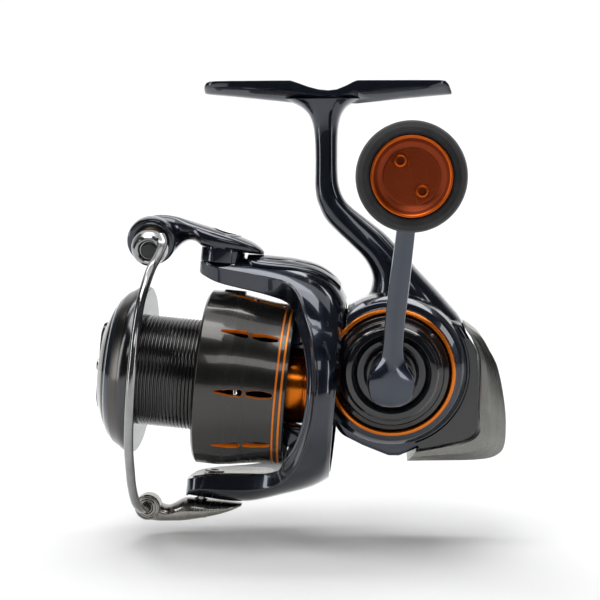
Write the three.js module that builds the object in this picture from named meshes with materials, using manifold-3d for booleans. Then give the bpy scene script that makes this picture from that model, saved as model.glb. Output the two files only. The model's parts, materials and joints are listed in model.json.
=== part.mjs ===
// Fixed-spool spinning reel, front drag, built as separate pieces.
// Frame: millimetres, +Z up towards the rod, origin in the middle of the foot's top plane,
// -X towards the spool, +X towards the tail, -Y towards the handle.
import * as THREE from "three";
import { mergeVertices } from "three/addons/utils/BufferGeometryUtils.js";
import Module from "manifold-3d";

const wasm = await Module();
wasm.setup();

// ---------- driving dimensions ----------
const TILT = THREE.MathUtils.degToRad(5.4); // main shaft against the foot, front end up
const LIP = [-53.5, 0, -82.0]; // centre of the spool's front lip, on the shaft axis
const GEAR_X = 17.9, GEAR_Z = -80.0; // drive gear and handle axis, parallel to Y
const GEAR_S = 70.89, GEAR_V = 8.71; // the same axis in shaft coordinates
const R_SHAFT = 2.0, R_BORE = 2.3;
const R_LIP = 24.0, R_DRUM = 15.8, R_SKIRT = 25.0, R_SLEEVE = 10.8;
const DRUM_END = 17.6, SKIRT_END = 43.0;
const STROKE = 13.0; // spool travel
const PIVOT_S = 20.0; // bail pivot axis, along v, in shaft coordinates
const R_ROTOR = 28.0, ROTOR_REAR = 56.5;
const CRANK = 54.0; // handle axis to knob axis
const KNOB = [22.4, -27.1]; // knob axis, X and Z
const R_KNOB = 13.4, R_KNOB_CAP = 9.7;
const FACETS = 0.52; // share of each turned piece's nominal number of sides

// ---------- geometry helpers ----------
const V3 = (x, y, z) => new THREE.Vector3(x, y, z);
function clean(g) {
  g = g.clone();
  for (const n of ["normal", "uv", "uv1", "color"]) g.deleteAttribute(n);
  g = mergeVertices(g, 1e-4);
  const a = g.index.array, keep = [];
  for (let i = 0; i < a.length; i += 3)
    if (a[i] !== a[i + 1] && a[i + 1] !== a[i + 2] && a[i] !== a[i + 2]) keep.push(a[i], a[i + 1], a[i + 2]);
  g.setIndex(keep);
  return g;
}
function solid(g) {
  g = clean(g);
  const make = (idx) =>
    new wasm.Manifold(new wasm.Mesh({ numProp: 3, vertProperties: new Float32Array(g.attributes.position.array), triVerts: new Uint32Array(idx) }));
  let s = make(g.index.array);
  if (s.volume() < 0) {
    const f = Array.from(g.index.array);
    for (let i = 0; i < f.length; i += 3) [f[i + 1], f[i + 2]] = [f[i + 2], f[i + 1]];
    s = make(f);
  }
  return s;
}
function geom(s) {
  const m = s.getMesh(), n = m.numProp, v = new Float32Array(m.numVert * 3);
  for (let i = 0; i < m.numVert; i++) v.set(m.vertProperties.subarray(i * n, i * n + 3), i * 3);
  return new THREE.BufferGeometry().setAttribute("position", new THREE.BufferAttribute(v, 3)).setIndex(new THREE.BufferAttribute(m.triVerts, 1));
}
const union = (...gs) => geom(gs.map(solid).reduce((a, b) => a.add(b)));
const cut = (g, ...gs) => geom(gs.map(solid).reduce((a, b) => a.subtract(b), solid(g)));
const both = (a, b) => geom(solid(a).intersect(solid(b)));

// Revolved profile [[radius, along], ...]; axis "x" (shaft direction), "y" or "z". A profile that starts and ends off the axis is closed on itself.
function turned(profile, axis = "x", seg = 28) {
  seg = Math.max(10, 2 * Math.round(seg * FACETS / 2));
  const p = profile.map(([r, a]) => new THREE.Vector2(Math.max(r, 0), a));
  if (p[0].x > 1e-6 || p[p.length - 1].x > 1e-6) p.push(p[0].clone());
  const g = new THREE.LatheGeometry(p, seg);
  if (axis === "x") g.rotateZ(-Math.PI / 2); // +Y to +X
  if (axis === "z") g.rotateX(Math.PI / 2); // +Y to +Z
  return g;
}
const ring = (ri, ro, a, b, axis = "x", seg = 28) => turned([[ri, a], [ro, a], [ro, b], [ri, b]], axis, seg);
const rod = (r, a, b, axis = "x", seg = 20) => turned([[0, a], [r, a], [r, b], [0, b]], axis, seg);
const at = (g, x, y, z) => g.clone().translate(x, y, z);
const box = (x0, x1, y0, y1, z0, z1) => new THREE.BoxGeometry(x1 - x0, y1 - y0, z1 - z0).translate((x0 + x1) / 2, (y0 + y1) / 2, (z0 + z1) / 2);
// Outline in the X-Z plane carried from y0 to y1.
function plate(outline, y0, y1) {
  const g = new THREE.ExtrudeGeometry(new THREE.Shape(outline.map(([x, z]) => new THREE.Vector2(x, z))), { depth: y1 - y0, bevelEnabled: false, curveSegments: 1 });
  return g.rotateX(Math.PI / 2).translate(0, y1, 0);
}
// Closed surface through rings of points, all of one length.
function loft(rings) {
  const n = rings[0].length, pos = [], idx = [];
  for (const r of rings) for (const p of r) pos.push(p[0], p[1], p[2]);
  for (let k = 0; k + 1 < rings.length; k++)
    for (let i = 0; i < n; i++) {
      const a = k * n + i, b = k * n + ((i + 1) % n), c = a + n, d = b + n;
      idx.push(a, b, d, a, d, c);
    }
  for (const [k, flip] of [[0, true], [rings.length - 1, false]]) {
    const mid = [0, 1, 2].map((j) => rings[k].reduce((t, p) => t + p[j], 0) / n), m = pos.length / 3;
    pos.push(...mid);
    for (let i = 0; i < n; i++) {
      const a = k * n + i, b = k * n + ((i + 1) % n);
      flip ? idx.push(m, b, a) : idx.push(m, a, b);
    }
  }
  return new THREE.BufferGeometry().setAttribute("position", new THREE.BufferAttribute(new Float32Array(pos), 3)).setIndex(idx);
}
// Section with rounded corners: half width w across, from lo to hi.
function section(w, lo, hi, n = 12, e = 3.2) {
  const out = [], c = (lo + hi) / 2, h = (hi - lo) / 2;
  for (let i = 0; i < n; i++) {
    const t = (2 * Math.PI * (i + 0.5)) / n, x = Math.cos(t), y = Math.sin(t);
    out.push([w * Math.sign(x) * Math.abs(x) ** (2 / e), c + h * Math.sign(y) * Math.abs(y) ** (2 / e)]);
  }
  return out;
}
// Beam along the shaft direction: rows of [s, half width, low v, high v].
const beam = (rows, n = 12, e = 3.2) => loft(rows.map(([s, w, lo, hi]) => section(w, lo, hi, n, e).map(([y, v]) => [s, y, v])));
// Round bar through points, made of an extruded circle.
function bar(points, r, steps, sides = 8) {
  const c = new THREE.CatmullRomCurve3(points.map((p) => V3(...p)));
  const sh = new THREE.Shape([...Array(sides)].map((_, i) => new THREE.Vector2(r * Math.cos((2 * Math.PI * i) / sides), r * Math.sin((2 * Math.PI * i) / sides))));
  return new THREE.ExtrudeGeometry(sh, { steps, extrudePath: c, bevelEnabled: false });
}
const gear = (ri, ro, root, teeth, a, b, axis) => {
  const sh = new THREE.Shape();
  for (let i = 0; i < teeth; i++)
    for (const [f, r] of [[0, root], [0.3, root], [0.45, ro], [0.8, ro]]) {
      const t = (2 * Math.PI * (i + f)) / teeth;
      i === 0 && f === 0 ? sh.moveTo(r * Math.cos(t), r * Math.sin(t)) : sh.lineTo(r * Math.cos(t), r * Math.sin(t));
    }
  if (ri > 0) sh.holes.push(new THREE.Path([...Array(14)].map((_, i) => new THREE.Vector2(ri * Math.cos((-2 * Math.PI * i) / 14), ri * Math.sin((-2 * Math.PI * i) / 14)))));
  const g = new THREE.ExtrudeGeometry(sh, { depth: b - a, bevelEnabled: false, curveSegments: 1 });
  if (axis === "y") g.rotateX(Math.PI / 2).translate(0, b, 0);
  else g.rotateY(Math.PI / 2).translate(a, 0, 0);
  return g;
};

// ---------- materials ----------
const M = (color, roughness, metalness) => new THREE.MeshStandardMaterial({ color, roughness, metalness });
const NAVY = [0x1b2434, 0.28, 0.6], BLACK = [0x0b0c10, 0.12, 0.1], SILVER = [0x8d9088, 0.3, 0.85], ORANGE = [0xe06f14, 0.3, 0.8],
  GUN = [0x2a2a2b, 0.35, 0.8], CHROME = [0xc8c9cc, 0.08, 1], STEEL = [0xa6a8ab, 0.3, 1], BRASS = [0xb08a45, 0.35, 0.9], FOAM = [0x202122, 0.95, 0],
  FELT = [0x5a5247, 0.95, 0], POM = [0xcfcdc4, 0.5, 0];

const group = new THREE.Group();
const shaft = new THREE.Group(); // shaft frame: x rearward along the main shaft from the lip, y as the world's, z across ("v")
shaft.position.set(...LIP);
shaft.rotation.y = TILT;
group.add(shaft);
const AXM = new THREE.Matrix4().makeRotationY(TILT).setPosition(...LIP);
const toWorld = (g) => g.clone().applyMatrix4(AXM);
function add(parent, name, g, mat) {
  const mesh = new THREE.Mesh(geom(solid(g)), M(...mat));
  mesh.name = name;
  parent.add(mesh);
  return mesh;
}
const onGear = (g) => at(g, GEAR_X, 0, GEAR_Z);

// ---------- body frame: foot, stem, housing, nose ----------
const foot = both(
  plate([[-35, -3.2], [-34.9, -1], [-33.8, 0], [-10.1, 0], [-6.2, -1.4], [-2.4, -2.6], [1.9, -2.6], [5, -1.3], [8, 0], [32.2, 0], [33.6, -1.3], [34.2, -3.6], [7.6, -6.3], [-11.4, -5.9]], -7.5, 7.5),
  // plan outline of the foot: rounded blade ends
  (() => {
    const pts = [];
    for (let i = 0; i <= 8; i++) { const t = -Math.PI / 2 + (Math.PI * i) / 8; pts.push([27.4 + 6.9 * Math.cos(t), 6.6 * Math.sin(t)]); }
    pts.push([0, 7.5]);
    for (let i = 0; i <= 8; i++) { const t = Math.PI / 2 + (Math.PI * i) / 8; pts.push([-28.2 + 6.9 * Math.cos(t), 6.6 * Math.sin(t)]); }
    pts.push([0, -7.5]);
    const g = new THREE.ExtrudeGeometry(new THREE.Shape(pts.map(([x, y]) => new THREE.Vector2(x, y))), { depth: 12, bevelEnabled: false });
    return g.translate(0, 0, -10);
  })(),
);
// horizontal slices of the stem: [z, left x, right x, half thickness]
const STEM = [[-5.2, -12.4, 9.4, 6.6], [-6.3, -9.8, 6.4, 6.1], [-8, -6.9, 4.3, 5.5], [-11, -4.8, 3.0, 4.9], [-15, -4.1, 2.5, 4.5], [-25, -3.9, 2.5, 4.4], [-30, -3.9, 3.1, 4.5], [-34, -3.1, 5.2, 4.8],
  [-38, -1.3, 10.2, 5.4], [-42, 2.2, 15.2, 6.1], [-46, 6.3, 19.2, 7.0], [-50, 10.0, 22.8, 8.0], [-54, 11.6, 26.6, 9.0], [-58, 11.6, 30.3, 9.9], [-62, 9.5, 33.7, 10.4], [-67, 7, 37.4, 10.8], [-74, 6, 40, 10.9]];
const stem = loft(STEM.map(([z, xl, xr, t]) => section(t, xl, xr, 12, 3.4).map(([y, x]) => [x, y, z])));
const SLAB = [[37.2, -67.6], [41.6, -75], [42.0, -84], [42.0, -95.8], [40.0, -98.9], [33.4, -100.9], [25.6, -102.2], [20.2, -104.6], [17.2, -104.6], [10, -101.8], [3.6, -98.6], [0.2, -92], [-0.8, -84], [0.8, -74], [5.6, -66.5], [9.8, -62.4], [20, -60]];
const slab = plate(SLAB, -10, 11);
const boss = onGear(turned([[0, -16.6], [17.6, -16.6], [19.4, -15.7], [20.7, -13.5], [21.2, -10], [21.2, 9], [20.2, 11.8], [17.5, 13.6], [0, 13.6]], "y", 40));
const nose = toWorld(turned([[0, 44], [8.1, 44], [8.1, 51.6], [10.6, 51.6], [10.6, 60], [0, 60]], "x", 28));
const cavity = onGear(rod(15.2, -30, 9.4, "y", 32));
const cavityRear = toWorld(plate([[66, -10.9], [84, -10.9], [88.3, -9.1], [91, -7.2], [91, 6.2], [66, 6.2]], -8.9, 4.6));
const clutchBore = toWorld(turned([[0, 43], [7.4, 43], [7.4, 58], [5.4, 58], [5.4, 62], [0, 62]], "x", 24));
const farBore = onGear(turned([[0, 8], [4.4, 8], [4.4, 10], [6.3, 10], [6.3, 20], [0, 20]], "y", 24));
const cradle = toWorld(box(66.6, 69.2, -5.6, 5.2, -13, 2.6));
const cradleCut = toWorld(rod(5.2, 60, 75, "x", 24));
let body = union(foot, stem, slab, boss, nose);
// the housing's front stands inside the hollow back of the rotor, so it is trimmed to clear it
const frontClear = toWorld(turned([[8.25, 30], [33, 30], [33, 57.2], [24.2, 57.2], [24.0, 52.6], [10.5, 52.6], [10.5, 51.7], [8.25, 51.7]], "x", 44));
body = cut(body, frontClear, cavity, cavityRear, clutchBore, farBore);
body = cut(union(body, both(cradle, onGear(rod(15.6, -12, 9.6, "y", 32)))), cradleCut);
add(group, "body_frame", body, NAVY);

// ---------- gear cover and trim ----------
add(group, "side_plate", onGear(turned([[4.5, -14.2], [4.5, -21.6], [6.6, -21.6], [7.2, -20.6], [9.6, -20.6], [10.3, -21.3], [12.6, -21.2], [13.6, -20.2], [15.2, -19.2], [16.1, -18.4], [16.1, -16.9], [14.9, -16.9], [14.9, -11.6], [13.2, -11.6], [13.2, -16.6], [7.6, -16.6], [7.6, -11.6], [7.4, -11.6], [7.4, -14.2]], "y", 36)), BLACK);
add(group, "side_plate_ring", onGear(ring(16.4, 17.4, -18.5, -16.9, "y", 40)), ORANGE);
add(group, "drive_bearing_near", onGear(ring(3.5, 7.0, -13.9, -11.4, "y", 20)), STEEL);
add(group, "drive_bearing_far", onGear(ring(3.4, 6.0, 10.3, 12.6, "y", 20)), STEEL);
add(group, "opposite_side_cap", onGear(turned([[0, 13.0], [5.9, 13.0], [5.9, 13.9], [8.4, 13.9], [8.4, 15.2], [6.8, 16.4], [0, 16.6]], "y", 24)), BLACK);
const TAIL_OUT = [[38.0, -67.7], [41.7, -69.7], [44.4, -73.7], [46.8, -77.7], [48.6, -85.1], [49.9, -94], [49.9, -100.1], [49.1, -102.8], [46.7, -104.9], [40.8, -105.8], [28, -106.0], [22.6, -106.2]];
const TAIL_IN = [[25.3, -102.8], [26.0, -102.5], [33.5, -101.2], [40.2, -99.2], [42.3, -96], [42.3, -84], [41.9, -74.9], [38.6, -69.2]];
const tail = plate([...TAIL_OUT, ...TAIL_IN], -11.4, 11.4);
const tailShape = loft([[-11.4, 0.86], [-10.2, 0.95], [-8, 1], [8, 1], [10.2, 0.95], [11.4, 0.86]].map(([y, k]) =>
  [[-10, -60], [46, -60], [60, -84], [50.2, -106.6], [-10, -106.6]].map(([x, z]) => [17.9 + (x - 17.9) * k, y, -80 + (z + 80) * k])));
add(group, "rear_cover", both(tail, tailShape), SILVER);
// black panel between the housing's round boss and the tail guard
const arc = [];
for (let i = 0; i <= 10; i++) { const t = THREE.MathUtils.degToRad(24 - i * 9.6); arc.push([17.9 + 21.6 * Math.cos(t), -80 + 21.6 * Math.sin(t)]); }
add(group, "rear_inset_panel", plate([...arc.reverse(), [39.0, -71.2], [41.5, -76], [41.8, -84], [41.8, -95.7], [39.8, -98.7], [33.2, -100.6], [26.0, -101.8]], -11.2, -10.3), BLACK);

// ---------- drive gear, handle ----------
const wheel = union(
  gear(0, 13.6, 12.5, 31, 5.6, 8.6, "y"),
  rod(3.1, -20.2, 12.8, "y", 20), rod(4.6, 5.0, 9.1, "y", 20), rod(4.4, -11.0, -9.0, "y", 20),
  gear(0, 5.1, 4.3, 14, -8.4, -6.9, "y"),
);
const driveGear = cut(wheel, turned([[5.6, 7.4], [11.0, 7.4], [11.0, 9.6], [5.6, 9.6]], "y", 24), rod(1.6, -21, -14, "y", 12));
add(group, "drive_gear", onGear(driveGear), BRASS);
add(group, "handle_axle_nut", onGear(turned([[3.5, -21.9], [5.2, -21.9], [5.9, -23.0], [5.9, -29.4], [4.4, -30.6], [0, -30.6], [0, -20.6], [1.3, -20.6], [1.3, -21.9]], "y", 24)), CHROME);
// arm: hub bulb, then a flattened bar rising to the knob; rows along its length of [x, y centre, z, half width, half thickness]
const ARM = [[17.9, -34.2, -86.6, 2.2, 1.6], [17.9, -34.2, -85.7, 4.6, 2.8], [17.9, -34.4, -83.4, 5.9, 3.6], [17.9, -34.6, -80, 6.1, 3.9], [17.95, -35, -77, 5.2, 3.6], [18.05, -35.6, -74, 3.1, 3.0], [18.3, -36.4, -70, 2.5, 2.7],
  [18.7, -38, -64, 2.6, 2.6], [19.6, -40.6, -56, 2.7, 2.4], [20.7, -43.6, -46, 2.5, 2.3], [21.8, -46.2, -36, 2.4, 2.2], [22.3, -47.6, -30, 2.8, 2.2], [22.4, -47.9, -27.1, 3.2, 2.2], [22.4, -47.9, -24.6, 2.2, 1.9]];
const armBar = loft(ARM.map(([x, y, z, w, t]) => section(w, y - t, y + t, 12, 2.6).map(([a, b]) => [x + a, b, z])));
add(group, "handle_arm", cut(union(armBar, onGear(turned([[0, -36.5], [6.0, -36.5], [6.0, -33.5], [5.2, -31.0], [4.6, -30.9], [0, -30.9]], "y", 24))), at(rod(1.9, -52, -44, "y", 12), KNOB[0], 0, KNOB[1])), NAVY);
const onKnob = (g) => at(g, KNOB[0], 0, KNOB[1]);
add(group, "knob_shaft", onKnob(turned([[0, -45.4], [1.6, -45.4], [1.6, -50.4], [2.6, -50.4], [2.6, -51.6], [1.9, -51.6], [1.9, -63.4], [2.8, -63.4], [2.8, -64.4], [0, -64.4]], "y", 16)), STEEL);
add(group, "knob_bearing_inner", onKnob(ring(2.2, 3.9, -55.0, -53.0, "y", 18)), STEEL);
add(group, "knob_bearing_outer", onKnob(ring(2.2, 3.9, -62.4, -60.4, "y", 18)), STEEL);
add(group, "knob_grip", onKnob(turned([[4.3, -52.2], [6.2, -51.8], [9.6, -53.0], [12.2, -56.0], [13.35, -60.2], [13.2, -63.6], [11.8, -66.2], [10.2, -67.0], [10.0, -66.6], [10.0, -64.0], [6.9, -62.9], [4.3, -62.9]], "y", 36)), FOAM);
// dished metal cap with two spanner holes
const cap = turned([[0, -65.2], [7.0, -65.2], [8.7, -66.9], [9.7, -67.3], [9.7, -64.3], [7.6, -64.0], [6.4, -63.2], [4.1, -63.2], [3.6, -64.7], [0, -64.7]], "y", 32);
add(group, "knob_cap", onKnob(cut(cap, at(rod(0.9, -70, -64.2, "y", 10), -2.4, 0, 4.1), at(rod(0.9, -70, -64.2, "y", 10), 2.7, 0, -3.2))), ORANGE);

// ---------- rotor ----------
const armTop = [[13.7, 3.6, 30.0, 32.7], [15.2, 5.4, 29.3, 32.9], [20, 6.6, 28.1, 32.9], [26.4, 7.6, 27.5, 33.0]];
const armTopRear = [[13.7, 7.0, 27.3, 34.9], [26, 7.8, 27.2, 35.2], [31, 9.0, 26.9, 35.3], [37, 10.6, 26.4, 35.3], [42, 12.4, 25.6, 35.2], [47.8, 14.6, 24.2, 34.3], [52.2, 15.2, 22, 32.4], [55.2, 15.0, 20, 29.6], [56.4, 14.6, 18, 27.2]];
const armBot = [[15.5, 3.8, -34.4, -30.6], [17, 5.6, -35.0, -29.6], [22, 7.0, -35.2, -28.4], [28, 8.2, -35.2, -27.6], [34, 9.6, -34.9, -27.0], [39, 11.4, -33.2, -26.4], [43, 13.4, -31.6, -25.4], [47.8, 14.6, -29.6, -24], [51.7, 15, -27.6, -22], [56.4, 14.8, -23.6, -18]];
const bowl = turned([[25.8, 37], [28.0, 38], [28.3, 44], [28.2, 51], [27.8, 56.5], [26.2, 56.5], [25.6, 52.2], [17.5, 51.2], [8.6, 51.0], [8.6, 40.4], [4.5, 40.4], [4.5, 36.4], [8.2, 36.4], [8.2, 29.8], [9.8, 29.8], [9.8, 49.4], [14, 49.6], [21, 49.8], [25.2, 50.2], [25.8, 46]], "x", 48);
const window_ = plate([[16.95, -28.3], [38, -28.3], [43, -24], [46.6, -19.5], [49.5, -11], [51, 0], [49.5, 11], [46.6, 19.5], [43, 24], [39, 28.3], [16.95, 28.3]], -40, 40);
const bowlCut = union(cut(bowl, cut(window_, rod(25.3, 0, 80, "x", 48))));
const innerClear = turned([[0, 0], [26.3, 0], [26.3, 30], [25.9, 36], [25.7, 44], [25.5, 50], [21, 49.3], [17.2, 48], [17.2, 10], [0, 10]], "x", 48);
const rearClear = turned([[0, 51.4], [25.7, 52.4], [26.2, 60], [0, 60]], "x", 48);
let rotor = union(beam(armTop), cut(beam(armTopRear), at(rod(6.8, 20, 50, "z", 24), PIVOT_S, 0, 0), box(10, 20, -10, 10, 20, 40)), beam(armBot));
rotor = cut(rotor, innerClear, rearClear);
rotor = union(rotor, bowlCut, box(41.5, 50.4, -6, 6, 11.1, 20.4), box(41.5, 50.4, -6, 6, -17.2, -11.1));
const upPocket = box(22.5, 46, -3.4, 3.4, 20, 32.0), lowPocket = box(19.5, 39, -3.4, 3.4, -33.0, -20);
rotor = cut(rotor, upPocket, lowPocket, at(rod(1.7, 26, 34, "z", 12), PIVOT_S, 0, 0), at(rod(1.7, -37, -26, "z", 12), PIVOT_S, 0, 0));
add(shaft, "rotor", rotor, NAVY);
add(shaft, "pinion", union(cut(rod(4.1, 31.6, 58, "x", 20), rod(R_BORE, 30, 70, "x", 16)), cut(gear(0, 3.9, 2.9, 5, 58, 66.0, "x"), rod(R_BORE, 30, 70, "x", 16)), cut(rod(3.0, 66, 70, "x", 16), rod(R_BORE, 30, 74, "x", 16))), BRASS);
add(shaft, "rotor_nut", cut(gear(0, 6.6, 6.6, 6, 33.2, 36.0, "x"), rod(4.4, 30, 40, "x", 20)), GUN);
add(shaft, "pinion_front_bearing", ring(4.4, 7.0, 52.4, 55.4, "x", 20), STEEL);
add(shaft, "pinion_rear_bearing", ring(3.3, 4.9, 66.8, 68.9, "x", 20), STEEL);
add(shaft, "roller_clutch", ring(4.4, 7.2, 45.7, 51.6, "x", 24), STEEL);
add(shaft, "clutch_retainer", ring(4.6, 7.2, 44.2, 45.4, "x", 24), POM);
// covers on the arms
const coverRows = [[27.4, 4.6, 35.5, 36.0], [31, 5.6, 35.6, 36.3], [37, 6.2, 35.6, 36.4], [42, 6.4, 35.5, 36.3], [47.8, 6.0, 34.7, 35.4], [52.2, 5.2, 32.8, 33.6], [54.4, 4.2, 31.0, 31.8]];
add(shaft, "upper_arm_cover", loft(coverRows.map(([s, w, lo, hi]) => [[w, lo], [w, hi - 0.2], [w * 0.5, hi], [-w * 0.5, hi], [-w, hi - 0.2], [-w, lo]].map(([y, v]) => [s, y, v]))), NAVY);
add(shaft, "upper_arm_inner_cover", loft([[22.8, 28.2], [30, 27.7], [38, 27.1], [45.6, 26.2]].map(([s, v]) => [[3.1, v], [3.1, v + 0.8], [-3.1, v + 0.8], [-3.1, v]].map(([y, z]) => [s, y, z]))), NAVY);
add(shaft, "lower_arm_inner_cover", union(loft([[19.8, -29.6], [26, -28.7], [33, -28.0], [38.6, -27.4]].map(([s, v]) => [[3.1, v], [3.1, v + 0.8], [-3.1, v + 0.8], [-3.1, v]].map(([y, z]) => [s, y, z]))), at(rod(1.6, -29.4, -28.0, "z", 14), 24, 0, 0)), SILVER);
add(shaft, "kick_lever", union(box(24, 42, -1.6, 1.6, 29.6, 31.0), box(41, 43, -1.6, 1.6, 28.4, 31.0), box(24, 26, -2.6, 2.6, 29.6, 31.2)), STEEL);
const coil = [];
for (let i = 0; i <= 32; i++) { const t = (i / 32) * 4 * 2 * Math.PI; coil.push([25.4 + (i / 32) * 9, 1.35 * Math.cos(t), -31.2 + 1.35 * Math.sin(t)]); }
add(shaft, "bail_spring", bar(coil, 0.26, 32, 4), STEEL);
add(shaft, "spring_guide", union(at(rod(0.8, 21.9, 36.4, "x", 10), 0, 0, -31.2), at(rod(1.5, 22.2, 24.2, "x", 12), 0, 0, -31.2)), STEEL);

// ---------- bail ----------
const P = PIVOT_S;
const ROLL = new THREE.Matrix4().compose(V3(-0.7, -1.2, 37.0), new THREE.Quaternion().setFromUnitVectors(V3(0, -1, 0), V3(1.0, -9, -2.1).normalize()), V3(1, 1, 1));
const onRoll = (g) => g.clone().applyMatrix4(ROLL);

const lever = [[-6.7, 2.0, 34.8, 39.6], [-5.4, 2.6, 31.8, 42.0], [-3.0, 2.9, 30.2, 43.9], [0, 3.1, 29.9, 44.6], [3.2, 3.3, 31.5, 44.8], [5.8, 3.8, 34.6, 44.6], [8, 4.3, 37.4, 44.2], [11, 4.9, 38.3, 43.7], [13.8, 5.4, 37.6, 43.3], [17, 6.0, 36.9, 42.7], [21.4, 6.2, 36.9, 41.8], [25.6, 5.8, 36.9, 40.8], [29, 4.6, 36.9, 39.4], [31.5, 2.4, 36.9, 37.6]];
const shiftY = (g, d) => at(g, 0, d, 0);
const leverRings = lever.map(([s, w, lo, hi]) => section(w, lo, hi, 12, 2.8).map(([y, v]) => [s, y + 3.3 * Math.min(1, Math.max(0, (13 - s) / 8)), v]));
add(shaft, "bail_arm", cut(union(loft(leverRings), at(rod(6.2, 33.3, 38.2, "z", 28), P, 0, 0)), at(turned([[0, 30], [1.9, 30], [1.9, 37.0], [3.4, 37.0], [3.4, 46], [0, 46]], "z", 16), P, 0, 0), 
  (() => { return onRoll(rod(1.2, -8, 4.6, "y", 10)); })()), NAVY);
add(shaft, "bail_pivot_screw_upper", at(turned([[0, 27.2], [1.3, 27.2], [1.3, 37.3], [3.0, 37.3], [3.0, 39.2], [1.0, 39.2], [1.0, 38.6], [0, 38.6]], "z", 14), P, 0, 0), STEEL);
const holder = [[3.9, 2.4, -42.0, -38.8], [6.4, 3.2, -43.3, -37.0], [11, 3.6, -43.2, -38.6], [14.6, 4.6, -42.7, -36.4], [18, 5.6, -41.8, -36.0], [22, 5.8, -40.6, -36.0], [27, 5.0, -38.9, -36.0], [31.9, 2.4, -37.0, -36.0]];
const holderRings = holder.map(([s, w, lo, hi]) => section(w, lo, hi, 12, 2.8).map(([y, v]) => [s, y - 2.0 * Math.min(1, Math.max(0, (13 - s) / 8)), v]));
add(shaft, "bail_holder", cut(loft(holderRings), at(turned([[0, -50], [3.1, -50], [3.1, -39.0], [1.9, -39.0], [1.9, -30], [0, -30]], "z", 16), PIVOT_S, 0, 0)), GUN);
add(shaft, "bail_pivot_screw_lower", at(turned([[0, -40.7], [1.0, -40.7], [1.0, -41.2], [2.8, -41.2], [2.8, -39.3], [1.3, -39.3], [1.3, -30.2], [0, -30.2]].reverse(), "z", 14), PIVOT_S, 0, 0), STEEL);
// line roller set: its axis leans a little from the Y direction; along it, -y points towards the cup
add(shaft, "roller_collar", onRoll(ring(4.7, 5.7, -1.6, -0.9, "y", 22)), ORANGE);
add(shaft, "line_roller", onRoll(turned([[2.6, -1.2], [4.4, -1.2], [4.5, -1.9], [3.6, -2.8], [3.6, -4.2], [4.5, -5.0], [4.5, -5.4], [2.6, -5.4]], "y", 22)), BRASS);
add(shaft, "roller_bearing", onRoll(ring(1.2, 2.3, -5.0, -1.4, "y", 16)), STEEL);
// bail wire, from the cup round the near side to the lower lever
const WIRE = [[3.2, -8.6, 38.4], [4.2, -11.0, 37.2], [4.3, -14.0, 35.6], [4.0, -17.8, 33.6], [3.5, -22.6, 31.0], [3.1, -27.4, 26.7], [2.7, -31.2, 21.8], [2.9, -35.0, 14.2], [3.1, -36.9, 7.8], [3.2, -37.6, 1.0], [3.4, -37.2, -7.6], [3.6, -34.8, -16.6], [3.9, -31.6, -22.8], [4.1, -28.2, -27.7], [4.4, -21.6, -33.6], [5.0, -14.4, -37.4], [5.8, -8.4, -39.4]];
add(shaft, "bail_wire", bar(WIRE, 1.3, 34, 8), CHROME);
const cupShape = cut(onRoll(turned([[0, -5.8], [5.0, -5.8], [5.1, -6.6], [4.8, -8.6], [4.3, -9.8], [3.6, -10.1], [0, -10.1]], "y", 24)), onRoll(rod(2.7, -12, -8.9, "y", 16)), onRoll(rod(1.2, -9.2, -5, "y", 12)), bar([[2.5, -7.0, 39.0], ...WIRE.slice(0, 4)], 1.75, 8, 8));
add(shaft, "bail_end_cup", cupShape, CHROME);
add(shaft, "roller_screw", onRoll(turned([[0, -9.9], [2.2, -9.9], [2.2, -9.2], [0.9, -9.2], [0.9, -1.3], [0, -1.3]], "y", 14)), STEEL);

// ---------- main shaft, slider, oscillation ----------
add(shaft, "main_shaft", rod(R_SHAFT, -7.0, 89.8, "x", 20), STEEL);
const slider = cut(union(box(84.6, 87.4, -5.5, 3.4, -8.4, 4.6), at(rod(0.6, -6.6, -5.2, "y", 10), 86, 0, -2.5)), rod(2.35, 80, 92, "x", 16), at(rod(1.4, 80, 92, "x", 12), 0, 0.6, -6.2));
add(shaft, "oscillating_slider", slider, POM);
add(shaft, "slider_screw", turned([[0, 90.1], [1.2, 90.1], [2.0, 90.2], [2.0, 90.6], [0, 90.6]], "x", 12), STEEL);
add(shaft, "slider_guide_rail", at(rod(1.0, 69.6, 90.0, "x", 12), 0, 0.6, -6.2), STEEL);
add(shaft, "oscillation_gear", at(cut(gear(0, 8.2, 7.5, 23, -8.4, -6.9, "y"), at(rod(0.8, -9, -6, "y", 10), 6.5, 0, 0)), 79.5, 0, -2.5), POM);
add(shaft, "clicker_plate", ring(2.35, 7.4, 28.2, 29.4, "x", 24), BLACK);

// ---------- spool and drag ----------
let spool = turned([[2.9, 6.6], [13.4, 6.6], [13.4, -1.8], [15.0, -1.8], [15.0, 0.6], [R_DRUM, 0.6], [R_DRUM, DRUM_END], [24.2, DRUM_END], [R_SKIRT, 18.3], [24.9, 24], [24.5, 27.7], [23.7, 32], [23.0, 36.5], [22.8, 40.5], [22.7, 43.0], [22.1, 43.0], [22.1, 34], [23.6, 26], [23.9, 19.6], [6.0, 19.6], [6.0, 27.0], [4.6, 27.0], [4.6, 12.6], [2.9, 12.6]], "x", 54);
const slots = [];
for (let i = 0; i < 9; i++) {
  const g = union(box(26, 30.6, -0.9, 0.9, 20, 30), box(32, 38.6, -1.0, 1.0, 20, 30));
  slots.push(g.rotateX(THREE.MathUtils.degToRad(90 + i * 40 + 1)));
}
spool = cut(spool, ...slots);
spool = cut(spool, box(22.0, 27.4, -2.4, 2.4, 22.6, 30).clone().rotateX(THREE.MathUtils.degToRad(3)));
add(shaft, "spool_body", spool, GUN);
add(shaft, "line_clip", box(22.4, 27.0, -2.0, 2.0, 22.9, 24.9).clone().rotateX(THREE.MathUtils.degToRad(3)), BLACK);
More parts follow.
